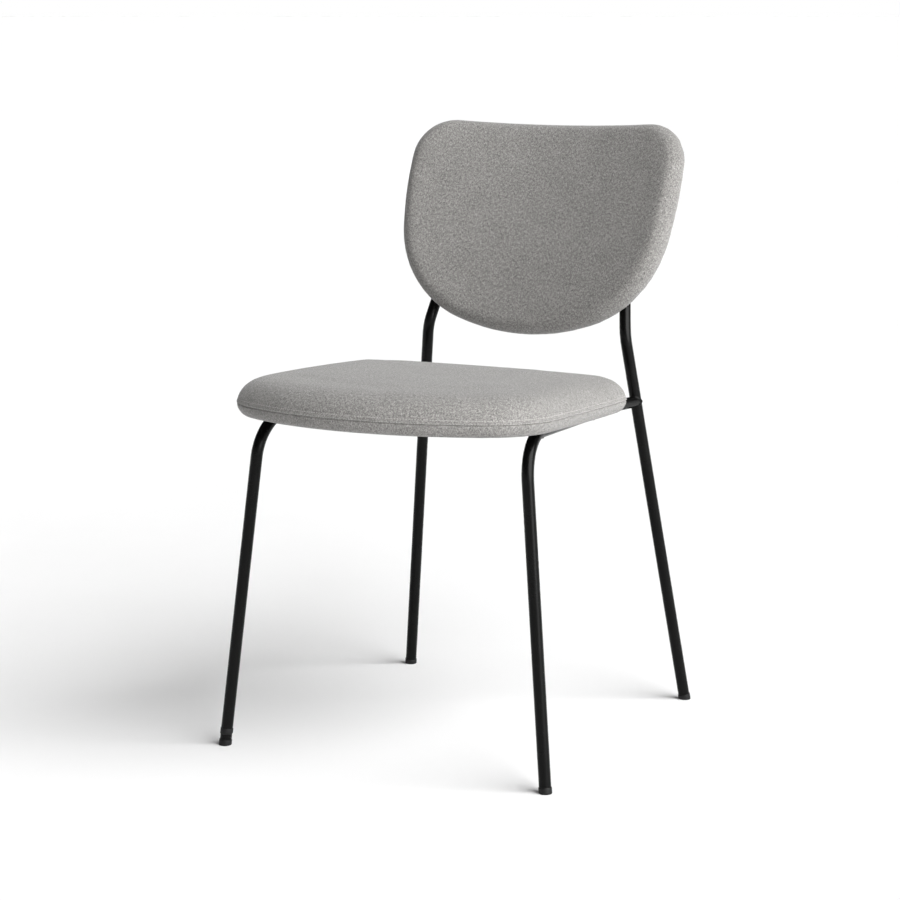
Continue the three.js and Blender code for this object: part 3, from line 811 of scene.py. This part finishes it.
class Pad:
    """A pad's plan, and how a point over it, at a height, comes to its place on the chair."""

    def __init__(self, plan, centre_y, place, easing=0, depth=1.0):
        """Easing is how many times the ring at an inset of depth is averaged, to round its corners."""
        self.plan, self.outward = plan
        self.easing, self.depth = easing, depth
        self.centre = np.array([0.0, centre_y])
        self.place = place
        steps = np.linalg.norm(np.roll(self.plan, -1, 0) - self.plan, axis=1)
        self.along = np.concatenate([[0], np.cumsum(steps)])

    def rings(self, stations):
        """Points through stations of (inset, height, scale), as an array of rings."""
        grid = np.empty((len(stations), len(self.plan), 3))
        for ring, (inset, height, scale) in zip(grid, stations):
            flat = self.plan - self.outward * inset
            for _ in range(round(self.easing * (inset / self.depth) ** 2)):
                flat = (np.roll(flat, 1, 0) + 2 * flat + np.roll(flat, -1, 0)) / 4
            ring[:, :2] = (flat - self.centre) * scale + self.centre
            ring[:, 2] = height
        return grid

    def from_edge(self, stations):
        """Each station's distance along the surface from the first one."""
        reach = np.linalg.norm(self.plan - self.centre, axis=1).mean()
        travelled = [0.0]
        for (inset, height, scale), (inset_2, height_2, scale_2) in zip(stations, stations[1:]):
            sideways = (inset_2 - inset) + (scale - scale_2) * (reach - inset)
            travelled.append(travelled[-1] + math.hypot(sideways, height_2 - height))
        return np.array(travelled)

    def cloth_map(self, stations):
        """UVs in metres: the plan itself over the crown, drawn outwards with the surface over the edge."""
        travelled = self.from_edge(stations)
        edge = next((k for k, (_, _, scale) in enumerate(stations) if scale < 1), len(stations)) - 1
        uv = np.empty((len(stations), len(self.plan), 2))
        for k, (inset, _, scale) in enumerate(stations):
            if k > edge:
                uv[k] = (self.plan - self.outward * inset - self.centre) * scale + self.centre
            else:
                beyond = travelled[edge] - travelled[k]
                uv[k] = self.plan - self.outward * (stations[edge][0] - beyond)
        return np.concatenate([uv, uv[:, :1]], axis=1)

    def band_map(self, stations):
        """UVs in metres for a band: along the outline, and down the surface."""
        travelled = self.from_edge(stations)
        return np.stack(np.broadcast_arrays(self.along[None, :], -travelled[:, None]), axis=2)


def seat_pad(spacing):
    """The seat's pad: heights are above the underside of the board, and it falls to the rear."""
    sizes = bpy.context.scene.chair_seat
    corners = front_line("right")
    rail = corners[2] - corners[1]
    level = corners[0].y + sizes.setback
    rail_height = corners[1].z + rail.z * (level - corners[1].y) / rail.y
    matrix = (Matrix.Translation((0, level, rail_height + sizes.lift))
              @ Matrix.Rotation(-sizes.pitch, 4, "X"))
    turn, origin = np.array(matrix)[:3, :3], np.array(matrix.translation)
    return Pad(outline(sizes.front, SEAT_ARCS, spacing), sizes.centre,
               lambda points: points @ turn.T + origin, sizes.corner_easing, sizes.edge_inset)


def back_pad(spacing):
    """The backrest's pad: drawn flat, rolled round an upright cylinder in front of it, and tilted."""
    sizes = bpy.context.scene.chair_back
    origin = Vector((0, FEET["foot_rear_right"].y + sizes.setback, sizes.height))
    matrix = Matrix.Translation(origin) @ Matrix.Rotation(-sizes.tilt, 4, "X")
    turn, origin = np.array(matrix)[:3, :3], np.array(matrix.translation)
    roll = sizes.roll

    def place(points):
        u, v, t = np.moveaxis(points, -1, 0)
        curved = np.stack([(roll + t) * np.sin(u / roll), (roll + t) * np.cos(u / roll) - roll, v], -1)
        return curved @ turn.T + origin

    return Pad(outline(sizes.bottom, BACK_ARCS, spacing), 0.0, place)


def smooth_heights(stations, first, rounds):
    """Eases the heights from one station inwards, so that the crown starts without a crease."""
    heights = np.array([height for _, height, _ in stations])
    for _ in range(rounds):
        eased = heights.copy()
        eased[first:-1] = (heights[first - 1:-2] + 2 * heights[first:-1] + heights[first + 1:]) / 4
        heights = eased
    return [(inset, float(h), scale) for (inset, _, scale), h in zip(stations, heights)]


def seat_top_stations(sizes, spacing):
    """From the seam's turned-in edge, over the rounded edge and the crown to the middle."""
    seam = sizes.seam
    deep, shallow = SEAM_FOLD
    stations = [(deep, seam + 0.05 * MM, 1), (shallow, seam + 0.2 * MM, 1), (0.2 * MM, seam + 0.9 * MM, 1)]
    close_rises = (2.0, 3.2, 4.4, 5.6, 6.8, 8.0, 9.4, 11.5)  # millimetres, close enough for the topstitching
    for rise in close_rises:
        stations.append((*edge_station(sizes, math.asin(rise * MM / sizes.edge_rise)), 1))
    last = math.degrees(math.asin(close_rises[-1] * MM / sizes.edge_rise))
    stations += [(*edge_station(sizes, math.radians(d)), 1) for d in evenly(last, 90, ROUNDED_EDGE_STEP)]
    for scale in evenly(1, 0, spacing / RINGS_TO_MIDDLE["seat"]):
        height = seam + sizes.edge_rise + sizes.crown * (1 - scale * scale)
        stations.append((sizes.edge_inset, height, max(scale, 0.0)))
    return stations


def edge_station(sizes, turn):
    """Inset and height at an angle round the seat's rounded edge."""
    return sizes.edge_inset * (1 - math.cos(turn)), sizes.seam + sizes.edge_rise * math.sin(turn)


def seat_band_stations(sizes):
    """From the seam's turned-in edge, round and in under the pad to where the cover is stapled.

    It hangs 5 mm below the board and comes up again to lie against it.
    """
    seam = sizes.seam
    deep, shallow = SEAM_FOLD
    return [
        (deep, seam - 0.05 * MM, 1), (shallow, seam - 0.2 * MM, 1), (0.15 * MM, seam - 0.9 * MM, 1),
        (0, seam - 2.2 * MM, 1), (0.25 * MM, seam - 4.0 * MM, 1), (0.9 * MM, 5.4 * MM, 1),
        (1.9 * MM, 3.4 * MM, 1), (3.3 * MM, 1.2 * MM, 1), (5.1 * MM, -1.1 * MM, 1),
        (7.2 * MM, -3.0 * MM, 1), (9.6 * MM, -4.4 * MM, 1), (12.2 * MM, -5.0 * MM, 1),
        (14.4 * MM, -4.4 * MM, 1), (16.0 * MM, -3.1 * MM, 1), (18.0 * MM, -2.3 * MM, 1),
        (20.0 * MM, -2.0 * MM, 1),
    ]


def rim_station(sizes, degrees):
    """A point round the backrest's rim: 0 is the rim itself, plus is towards the rear."""
    turn = math.radians(degrees)
    return sizes.rim * (1 - math.cos(turn)), sizes.rim * math.sin(turn), 1


def turned_edge(sizes, degrees, towards):
    """The first stations of a backrest panel, where its edge turns in at the closing seam."""
    turn = math.radians(degrees)
    lip = []
    deep, shallow = SEAM_FOLD
    for depth, shift in ((deep, 0.05 * MM), (shallow, 0.2 * MM), (0.15 * MM, 0.9 * MM)):
        now = turn + towards * shift / sizes.rim
        radius = sizes.rim - depth
        lip.append((sizes.rim - radius * math.cos(now), radius * math.sin(now), 1))
    return lip


def back_stations(sizes, spacing, to_rear):
    """A backrest panel from the closing seam round the rim and over its face to the middle."""
    seam = math.degrees(sizes.seam)
    sign, crown, power = (1, sizes.rear_crown, 6) if to_rear else (-1, sizes.front_crown, 2)
    stations = turned_edge(sizes, seam, sign)
    stations += [rim_station(sizes, d) for d in evenly(seam + sign * 5, sign * 90, RIM_STEP)]
    edge = len(stations)
    for scale in evenly(1, 0, spacing / RINGS_TO_MIDDLE["back"]):
        stations.append((sizes.rim, sign * (sizes.rim + crown * (1 - scale ** power)), max(scale, 0.0)))
    return smooth_heights(stations, edge - 4, REAR_EASING if to_rear else FRONT_EASING)


def grid_mesh(name, grid, uv, outside):
    """A panel through rings of points. A last ring with no size is closed to a single point.

    The UVs have one column more than the rings have points, so that the map is cut where the rings close.
    """
    rings, around = grid.shape[:2]
    to_point = np.ptp(grid[-1], axis=0).max() < 1e-6
    points = grid[:-1].reshape(-1, 3) if to_point else grid.reshape(-1, 3)
    if to_point:
        points = np.vstack([points, grid[-1, :1]])

    def index(ring, place):
        return len(points) - 1 if to_point and ring == rings - 1 else ring * around + place

    faces, corners = [], []
    for s in range(rings - 1):
        for i in range(around):
            j = (i + 1) % around
            keys = [(s, i, i), (s, j, i + 1), (s + 1, j, i + 1), (s + 1, i, i)]
            if to_point and s == rings - 2:
                keys = keys[:3]
            if not outside:
                keys = keys[::-1]
            faces.append([index(ring, place) for ring, place, _ in keys])
            corners += [uv[ring, column] for ring, _, column in keys]
    return mesh_piece(name, points, faces, corners)


def grid_normals(grid):
    """Unit normals of a panel's rings, up from the surface where the rings run anticlockwise."""
    around = np.roll(grid, -1, 1) - np.roll(grid, 1, 1)
    inwards = np.empty_like(grid)
    inwards[1:-1] = grid[2:] - grid[:-2]
    inwards[0], inwards[-1] = grid[1] - grid[0], grid[-1] - grid[-2]
    normals = np.cross(around, inwards)
    sizes = np.linalg.norm(normals, axis=2, keepdims=True)
    normals = normals / np.maximum(sizes, 1e-12)
    if sizes[-1].max() < 1e-9:
        middle = normals[-2].mean(axis=0)
        normals[-1] = middle / np.linalg.norm(middle)
    return normals


def swollen_form(name, pad, stations, seam_line):
    """A pad as even cloth, blown up with its seam held, as foam fills a cover. The covers are laid on it."""
    rings = pad.place(pad.rings(stations))
    blank_uv = np.zeros((len(stations), len(pad.plan) + 1, 2))
    form = grid_mesh(name, rings, blank_uv, True)
    tidy(form)
    modify(form, "REMESH", mode="VOXEL", voxel_size=FORM_VOXEL)
    modify(form, "SMOOTH", factor=0.5, iterations=4)
    start = coordinates(form)
    # Each stretch of the seam is a triangle with two of its corners together
    seam_tree = BVHTree.FromPolygons(
        [tuple(p) for p in seam_line],
        [(i, (i + 1) % len(seam_line), (i + 1) % len(seam_line)) for i in range(len(seam_line))])
    held = form.vertex_groups.new(name="seam")
    for index, point in enumerate(start):
        nearest = seam_tree.find_nearest(Vector(point))
        if nearest[3] is not None and nearest[3] < HOLD_REACH:
            held.add([index], 1.0, "REPLACE")
    only(form)
    cloth = form.modifiers.new("cloth", "CLOTH")
    cloth.settings.quality = 5
    cloth.settings.mass = 0.3
    cloth.settings.tension_stiffness = 20
    cloth.settings.compression_stiffness = 20
    cloth.settings.bending_stiffness = 2.0
    cloth.settings.use_pressure = True
    cloth.settings.uniform_pressure_force = 4.0
    cloth.settings.vertex_group_mass = "seam"
    cloth.settings.effector_weights.gravity = 0.0
    cloth.point_cache.frame_start, cloth.point_cache.frame_end = 1, SWELL_FRAMES
    for now in range(1, SWELL_FRAMES + 1):
        bpy.context.scene.frame_set(now)
    bpy.ops.object.modifier_apply(modifier=cloth.name)
    bpy.context.scene.frame_set(1)
    moved = coordinates(form) - start
    reach = np.linalg.norm(moved, axis=1, keepdims=True)
    set_coordinates(form, start + moved * np.minimum(1, MOST_MOVED / np.maximum(reach, 1e-9)))
    modify(form, "SMOOTH", factor=0.5, iterations=6)
    return form


def laid_on(form, grid, normals, limit):
    """How far each point of a panel is lifted to lie on the swollen form, about its usual lift."""
    surface = BVHTree.FromObject(form, bpy.context.evaluated_depsgraph_get())
    lift = np.zeros(grid.shape[:2])
    for place in np.ndindex(lift.shape):
        nearest = surface.find_nearest(Vector(grid[place]))[0]
        lift[place] = (np.array(nearest) - grid[place]) @ normals[place]
    for _ in range(8):
        lift = (lift + np.roll(lift, 1, 1) + np.roll(lift, -1, 1)) / 3
        lift[1:-1] = (lift[:-2] + 2 * lift[1:-1] + lift[2:]) / 4
    return np.clip(lift - np.median(lift), -0.2 * MM, limit)


def waves(along, periods, seed):
    """A gentle uneven ripple along an outline, the same each time."""
    phases = np.random.default_rng(seed).uniform(0, 2 * math.pi, len(periods))
    total = along[-1]
    ripple = np.zeros(len(along) - 1)
    for period, phase in zip(periods, phases):
        turns = max(1, round(total / period))
        ripple += np.sin(2 * math.pi * turns * along[:-1] / total + phase)
    return ripple / len(periods)


def gathers(pad, travelled, strength, reach, corner_strength):
    """Small puckers square to a seam, deepest at the seam and round the corners.

    A corner is where the outline turns by more than 4 radians in a metre, and is full from 12 on.
    """
    along = pad.along
    turning = np.linalg.norm(np.roll(pad.outward, -1, 0) - np.roll(pad.outward, 1, 0), axis=1)
    turning = turning / (np.diff(along) * 2)
    corner = np.clip((turning - 4) / 8, 0, 1)
    for _ in range(10):
        corner = (np.roll(corner, 1) + 2 * corner + np.roll(corner, -1)) / 4
    ripple = waves(along, RIPPLE_PERIODS, RIPPLE_SEED)
    depth = strength * (1 + corner_strength * corner) * ripple
    return np.exp(-travelled / reach)[:, None] * depth[None, :]


def hump(travelled, at, width):
    """A rounded ridge all round a panel, 1 high, at a distance from its edge."""
    return np.exp(-(((travelled[:, None] - at) / width) ** 2))


def cover_panel(name, grid, uv, outside, finish, replaced):
    """A panel with the fabric's thickness behind it."""
    panel = grid_mesh(name, grid, uv, outside)
    modify(panel, "SOLIDIFY", thickness=bpy.context.scene.chair_fabric.wall, offset=-1)
    smooth(panel, 70)
    done(panel, finish, replaced)
    return panel


def stitch_model():
    """One stitch: a short bowed length of thread, whose ends go down into the fabric."""
    fabric = bpy.context.scene.chair_fabric
    half, thick = fabric.stitch * 0.40, fabric.thread
    start_piece()
    bpy.ops.mesh.primitive_cylinder_add(vertices=6, radius=1, depth=2, rotation=(0, math.pi / 2, 0))
    stitch = bpy.context.object
    settle(stitch)
    edit(stitch)
    bpy.ops.mesh.bisect(plane_co=(0, 0, 0), plane_no=(1, 0, 0))
    leave_edit()
    points = coordinates(stitch)
    taper = 1 - 0.45 * np.abs(points[:, 0])
    bow = (1 - points[:, 0] ** 2) * thick * 0.9 - thick * 0.45
    set_coordinates(stitch, np.column_stack([
        points[:, 0] * half, points[:, 1] * thick * taper, points[:, 2] * thick * taper + bow]))
    return stitch


def stops_round(line, pitch):
    """Even stops round a closed line, each as the point before it and its share of the way to the next."""
    steps = np.linalg.norm(np.roll(line, -1, 0) - line, axis=1)
    along = np.concatenate([[0], np.cumsum(steps)])
    for at in np.linspace(0, along[-1], round(along[-1] / pitch), endpoint=False):
        i = min(int(np.searchsorted(along, at, side="right")) - 1, len(line) - 1)
        yield i, (at - along[i]) / max(along[i + 1] - along[i], 1e-9)


def row_of_stitches(name, grid, normals, travelled, distance):
    """Stitches along a panel at a distance from its edge, evenly spaced round the outline."""
    k = int(np.searchsorted(travelled, distance))
    share = (distance - travelled[k - 1]) / (travelled[k] - travelled[k - 1])
    line = grid[k - 1] * (1 - share) + grid[k] * share
    up = normals[k - 1] * (1 - share) + normals[k] * share
    closed_line, closed_up = np.vstack([line, line[:1]]), np.vstack([up, up[:1]])
    places = []
    for i, part in stops_round(line, bpy.context.scene.chair_fabric.stitch):
        centre = Vector(closed_line[i] * (1 - part) + closed_line[i + 1] * part)
        z_axis = Vector(closed_up[i] * (1 - part) + closed_up[i + 1] * part).normalized()
        x_axis = Vector(closed_line[i + 1] - closed_line[i]).normalized()
        y_axis = z_axis.cross(x_axis).normalized()
        x_axis = y_axis.cross(z_axis)
        place = Matrix((x_axis, y_axis, z_axis)).transposed().to_4x4()
        place.translation = centre
        places.append(place)
    stitches = scatter(name, stitch_model(), places)
    smooth(stitches, 60)
    return done(stitches, "thread")


def clear_of_tubes(grid, clearance):
    """Moves a cover's points off the side rails that it is pressed against."""
    tubes = bpy.context.scene.chair_tubes
    reach = tubes.radius + clearance
    for side in SIDES:
        line = bend_points(front_line(side), tubes.front_bend)
        for a, b in zip(line, line[1:]):
            a, b = np.array(a), np.array(b)
            span = b - a
            share = np.clip(((grid - a) @ span) / (span @ span), 0, 1)
            nearest = a + share[..., None] * span
            away = grid - nearest
            distance = np.linalg.norm(away, axis=-1, keepdims=True)
            pushed = nearest + away * (reach / np.maximum(distance, 1e-9))
            grid = np.where(distance < reach, pushed, grid)
    return grid


def bend_points(corners, bend):
    """A front leg's centre line as short straights, with its bend into the side rail rounded."""
    foot, corner, after = corners[0], corners[1], corners[2]
    arriving, leaving = (corner - foot).normalized(), (after - corner).normalized()
    turn = arriving.angle(leaving)
    start = corner - arriving * bend * math.tan(turn / 2)
    inward = (leaving - arriving * leaving.dot(arriving)).normalized()
    centre = start + inward * bend
    points = [foot]
    for i in range(13):
        now = turn * i / 12
        points.append(centre - inward * bend * math.cos(now) + arriving * bend * math.sin(now))
    return [*points, after, corners[3]]


def domed(rings, sizes):
    """Raises the top's middle, across and from front to rear, and leaves the seam where it is."""
    x, y, height = np.moveaxis(rings, -1, 0)
    share = np.clip((height - sizes.seam) / sizes.edge_rise, 0, 1)
    rise = (sizes.side_dome * (1 - (y / DOME_HALF_LENGTH) ** 2)
            + sizes.rear_dome * (1 - (x / DOME_HALF_WIDTH) ** 2))
    return np.stack([x, y, height + share * rise], -1)


class CHAIR_OT_seat_pad(bpy.types.Operator):
    """Fill the seat pad, lay its top panel and side band over it, and sew them"""
    bl_idname = "chair.seat_pad"
    bl_label = "Seat pad"

    def execute(self, context):
        sizes, fabric = context.scene.chair_seat, context.scene.chair_fabric
        pad = seat_pad(fabric.spacing)
        top = smooth_heights(seat_top_stations(sizes, fabric.spacing), SEAT_EASED_FROM, SEAT_EASING)
        band = seat_band_stations(sizes)
        travelled = pad.from_edge(top)
        grid = pad.place(domed(pad.rings(top), sizes))
        normals = grid_normals(grid)
        lift = np.zeros(grid.shape[:2])
        closed = [(sizes.edge_inset, 0, 0)] + band[:0:-1] + top[1:]
        seam_line = pad.place(pad.rings([(0, sizes.seam, 1)]))[0]
        form = swollen_form("seat_form", pad, closed, seam_line)
        lift = laid_on(form, grid, normals, fabric.swell)
        bpy.data.objects.remove(form)
        lift *= np.clip(travelled / SEAM_REACH, 0, 1)[:, None]
        lift += gathers(pad, travelled, strength=0.45 * MM, reach=0.011, corner_strength=1.4)
        row = sizes.topstitch
        lift += PUFF * hump(travelled, row * 0.5, row * 0.32)
        lift -= GROOVE * hump(travelled, row, 1.3 * MM)
        lift[:2] = 0
        grid = grid + normals * lift[..., None]
        normals = grid_normals(grid)
        cover_panel("seat_top_panel", grid, pad.cloth_map(top), True, "upholstery",
                    ["seat_cover_top"])
        row_of_stitches("seat_seam_stitches", grid, normals, travelled, SEAT_STITCHING)
        row_of_stitches("seat_topstitches", grid, normals, travelled, row)

        band_grid = pad.place(pad.rings(band))
        down = -grid_normals(band_grid)
        ripple = gathers(pad, pad.from_edge(band), strength=0.35 * MM, reach=0.008, corner_strength=1.6)
        ripple[:2], ripple[-3:] = 0, 0
        band_grid = clear_of_tubes(band_grid + down * ripple[..., None], RAIL_CLEARANCE)
        cover_panel("seat_side_band", band_grid, pad.band_map(band), False, "upholstery",
                    ["seat_cover_band"])
        return {"FINISHED"}


class CHAIR_OT_back_pad(bpy.types.Operator):
    """Fill the backrest, lay its front and rear panels over it, and sew the closing seam"""
    bl_idname = "chair.back_pad"
    bl_label = "Backrest"

    def execute(self, context):
        sizes, fabric = context.scene.chair_back, context.scene.chair_fabric
        pad = back_pad(fabric.spacing)
        front = back_stations(sizes, fabric.spacing, False)
        rear = back_stations(sizes, fabric.spacing, True)
        form = None
        closed = front[:0:-1] + rear[3:]
        seam_line = pad.place(pad.rings([rim_station(sizes, math.degrees(sizes.seam))]))[0]
        form = swollen_form("back_form", pad, closed, seam_line)
        for name, stations, sign in (("front", front, -1), ("rear", rear, 1)):
            grid = pad.place(pad.rings(stations))
            normals = grid_normals(grid) * sign * REAR_NORMALS
            travelled = pad.from_edge(stations)
            lift = np.zeros(grid.shape[:2])
            if form:
                lift = laid_on(form, grid, normals, fabric.swell)
            lift *= np.clip(travelled / SEAM_REACH, 0, 1)[:, None]
            lift += gathers(pad, travelled, strength=0.35 * MM, reach=0.012, corner_strength=1.2)
            lift[:2] = 0
            grid = grid + normals * lift[..., None]
            outside = sign * REAR_NORMALS > 0
            cover_panel(f"back_{name}_panel", grid, pad.cloth_map(stations), outside,
                        "upholstery", [f"back_cover_{name}"])
            if name == "rear":
                normals = grid_normals(grid) * sign * REAR_NORMALS
                row_of_stitches("back_closing_stitches", grid, normals, travelled, BACK_STITCHING)
        if form:
            bpy.data.objects.remove(form)
        return {"FINISHED"}


# ---------------------------------------------------------------- underside and carried-over pieces

class CHAIR_OT_staples(bpy.types.Operator):
    """Staple the edge of the dust cover under the seat"""
    bl_idname = "chair.staples"
    bl_label = "Staples"

    def execute(self, context):
        sizes, fabric = context.scene.chair_seat, context.scene.chair_fabric
        pad = seat_pad(fabric.spacing)
        below = pad.place(pad.rings([(STAPLE_INSET, STAPLE_LEVEL, 1)]))[0]
        loop = np.vstack([below, below[:1]])
        places = []
        for i, _ in stops_round(below, fabric.staple):
            x_axis = Vector(loop[i + 1] - loop[i]).normalized()
            z_axis = Vector((0, -math.sin(sizes.pitch), -math.cos(sizes.pitch)))
            y_axis = z_axis.cross(x_axis).normalized()
            place = Matrix((x_axis, y_axis, y_axis.cross(x_axis) * -1)).transposed().to_4x4()
            place.translation = Vector(loop[i])
            places.append(place)
        staples = scatter("dust_cover_staples", self.model(), places)
        tidy(staples)
        smooth(staples, 35)
        done(staples, "zinc")
        return {"FINISHED"}

    @staticmethod
    def model():
        """A staple's crown, which lies on the cloth. Its legs are in the board and are left out."""
        start_piece()
        bpy.ops.mesh.primitive_cube_add(size=1)
        staple = bpy.context.object
        staple.scale = STAPLE_SIZE
        settle(staple)
        modify(staple, "BEVEL", width=0.18 * MM, segments=1)
        return staple


CARRIED_OVER = {
    "seat_foam": "foam", "back_foam_front": "foam", "back_foam_rear": "foam",
    "seat_board": "plywood", "back_panel": "plywood", "seat_dust_cover": "lining",
    "back_bar_lower": "paint", "back_bar_upper": "paint",
}


class CHAIR_OT_inner_pieces(bpy.types.Operator):
    """Finish the foam, boards, bars and fixings that the frame carries over"""
    bl_idname = "chair.inner_pieces"
    bl_label = "Inner pieces"

    def execute(self, context):
        for name, node in frame["nodes"].items():
            if node.hide_render:
                continue
            finish = CARRIED_OVER.get(name) or ("screw" if name.startswith("seat_screw") else "zinc")
            if not node.material_slots:
                raise RuntimeError(f"{name} has no material slot")
            for slot in node.material_slots:
                slot.material = finish_for(finish)
        return {"FINISHED"}


# ---------------------------------------------------------------- stage

def aimed(light, place, aim):
    light.rotation_euler = (Vector(aim) - Vector(place)).to_track_quat("-Z", "Y").to_euler()


def white_horizon(stage):
    """Surroundings that are white at the horizon and dim overhead, as in a studio with a low backdrop.

    The ramp runs over the sine of the height above the horizon.
    """
    world = bpy.data.worlds.new("soft_surroundings")
    world.use_nodes = True
    nodes, links = world.node_tree.nodes, world.node_tree.links
    direction = nodes.new("ShaderNodeTexCoord")
    apart = nodes.new("ShaderNodeSeparateXYZ")
    ramp = nodes.new("ShaderNodeValToRGB")
    Finish.set_stops(ramp.color_ramp, [(0.12, (1, 1, 1)), (0.25, (stage.sky,) * 3)])
    links.new(direction.outputs["Generated"], apart.inputs[0])
    links.new(apart.outputs["Z"], ramp.inputs["Fac"])
    links.new(ramp.outputs["Color"], nodes["Background"].inputs["Color"])
    return world


# The large soft light is to the chair's right and above it, and the weak one in front of it.
KEY_PLACE = (8.4, -1.6, 5.3)
FILL_PLACE = (1.7, -3.1, 2.0)


class CHAIR_OT_stage(bpy.types.Operator):
    """Lay the floor and set the soft lights and the camera"""
    bl_idname = "chair.stage"
    bl_label = "Stage"

    def execute(self, context):
        stage = context.scene.chair_stage
        start_piece()
        bpy.ops.mesh.primitive_circle_add(vertices=96, radius=stage.floor_radius, fill_type="NGON")
        floor = context.object
        floor.name = "floor"
        floor.data.materials.append(pale_floor(stage))

        context.scene.world = white_horizon(stage)
        context.scene.view_settings.view_transform = "Standard"

        aim = Vector(stage.aim)
        start_piece()
        bpy.ops.object.light_add(type="SUN", location=KEY_PLACE)
        key = context.object
        key.name = "key_light"
        key.data.energy, key.data.angle = stage.key, stage.softness
        aimed(key, KEY_PLACE, (0, 0, 0))
        bpy.ops.object.light_add(type="AREA", location=FILL_PLACE)
        fill = context.object
        fill.name = "fill_light"
        fill.data.shape, fill.data.size, fill.data.energy = "DISK", 2.0, stage.fill
        aimed(fill, FILL_PLACE, aim)

        back = Vector((math.sin(stage.azimuth) * math.cos(stage.elevation),
                       -math.cos(stage.azimuth) * math.cos(stage.elevation), math.sin(stage.elevation)))
        bpy.ops.object.camera_add(location=aim + back * stage.distance)
        camera = context.object
        camera.name = "camera"
        camera.rotation_euler = (-back).to_track_quat("-Z", "Y").to_euler()
        camera.data.lens = stage.lens
        camera.data.sensor_width = 36
        context.scene.camera = camera
        return {"FINISHED"}


# ---------------------------------------------------------------- panel and main

OPERATORS = [
    CHAIR_OT_stage, CHAIR_OT_legs, CHAIR_OT_cross_rails, CHAIR_OT_foot_caps, CHAIR_OT_seat_pad,
    CHAIR_OT_back_pad, CHAIR_OT_staples, CHAIR_OT_inner_pieces,
]


class CHAIR_PT_panel(bpy.types.Panel):
    """Sizes, colours and steps of the chair"""
    bl_label = "Dining Chair"
    bl_idname = "CHAIR_PT_panel"
    bl_space_type = "VIEW_3D"
    bl_region_type = "UI"
    bl_category = "Chair"

    def draw(self, context):
        for operator in OPERATORS:
            self.layout.operator(operator.bl_idname)
        for name, group in PROPERTY_GROUPS.items():
            box = self.layout.box()
            box.label(text=name.replace("_", " ").capitalize())
            for field in group.__annotations__:
                box.prop(getattr(context.scene, name), field)


def register():
    for group in PROPERTY_GROUPS.values():
        bpy.utils.register_class(group)
    for name, group in PROPERTY_GROUPS.items():
        setattr(bpy.types.Scene, name, bpy.props.PointerProperty(type=group))
    for operator in OPERATORS:
        bpy.utils.register_class(operator)
    bpy.utils.register_class(CHAIR_PT_panel)


def unregister():
    bpy.utils.unregister_class(CHAIR_PT_panel)
    for operator in reversed(OPERATORS):
        bpy.utils.unregister_class(operator)
    for name in PROPERTY_GROUPS:
        delattr(bpy.types.Scene, name)
    for group in PROPERTY_GROUPS.values():
        bpy.utils.unregister_class(group)


def main():
    register()
    for operator in OPERATORS:
        step = getattr(bpy.ops.chair, operator.bl_idname.split(".")[1])
        step()
    start_piece()


if __name__ == "__main__":
    main()
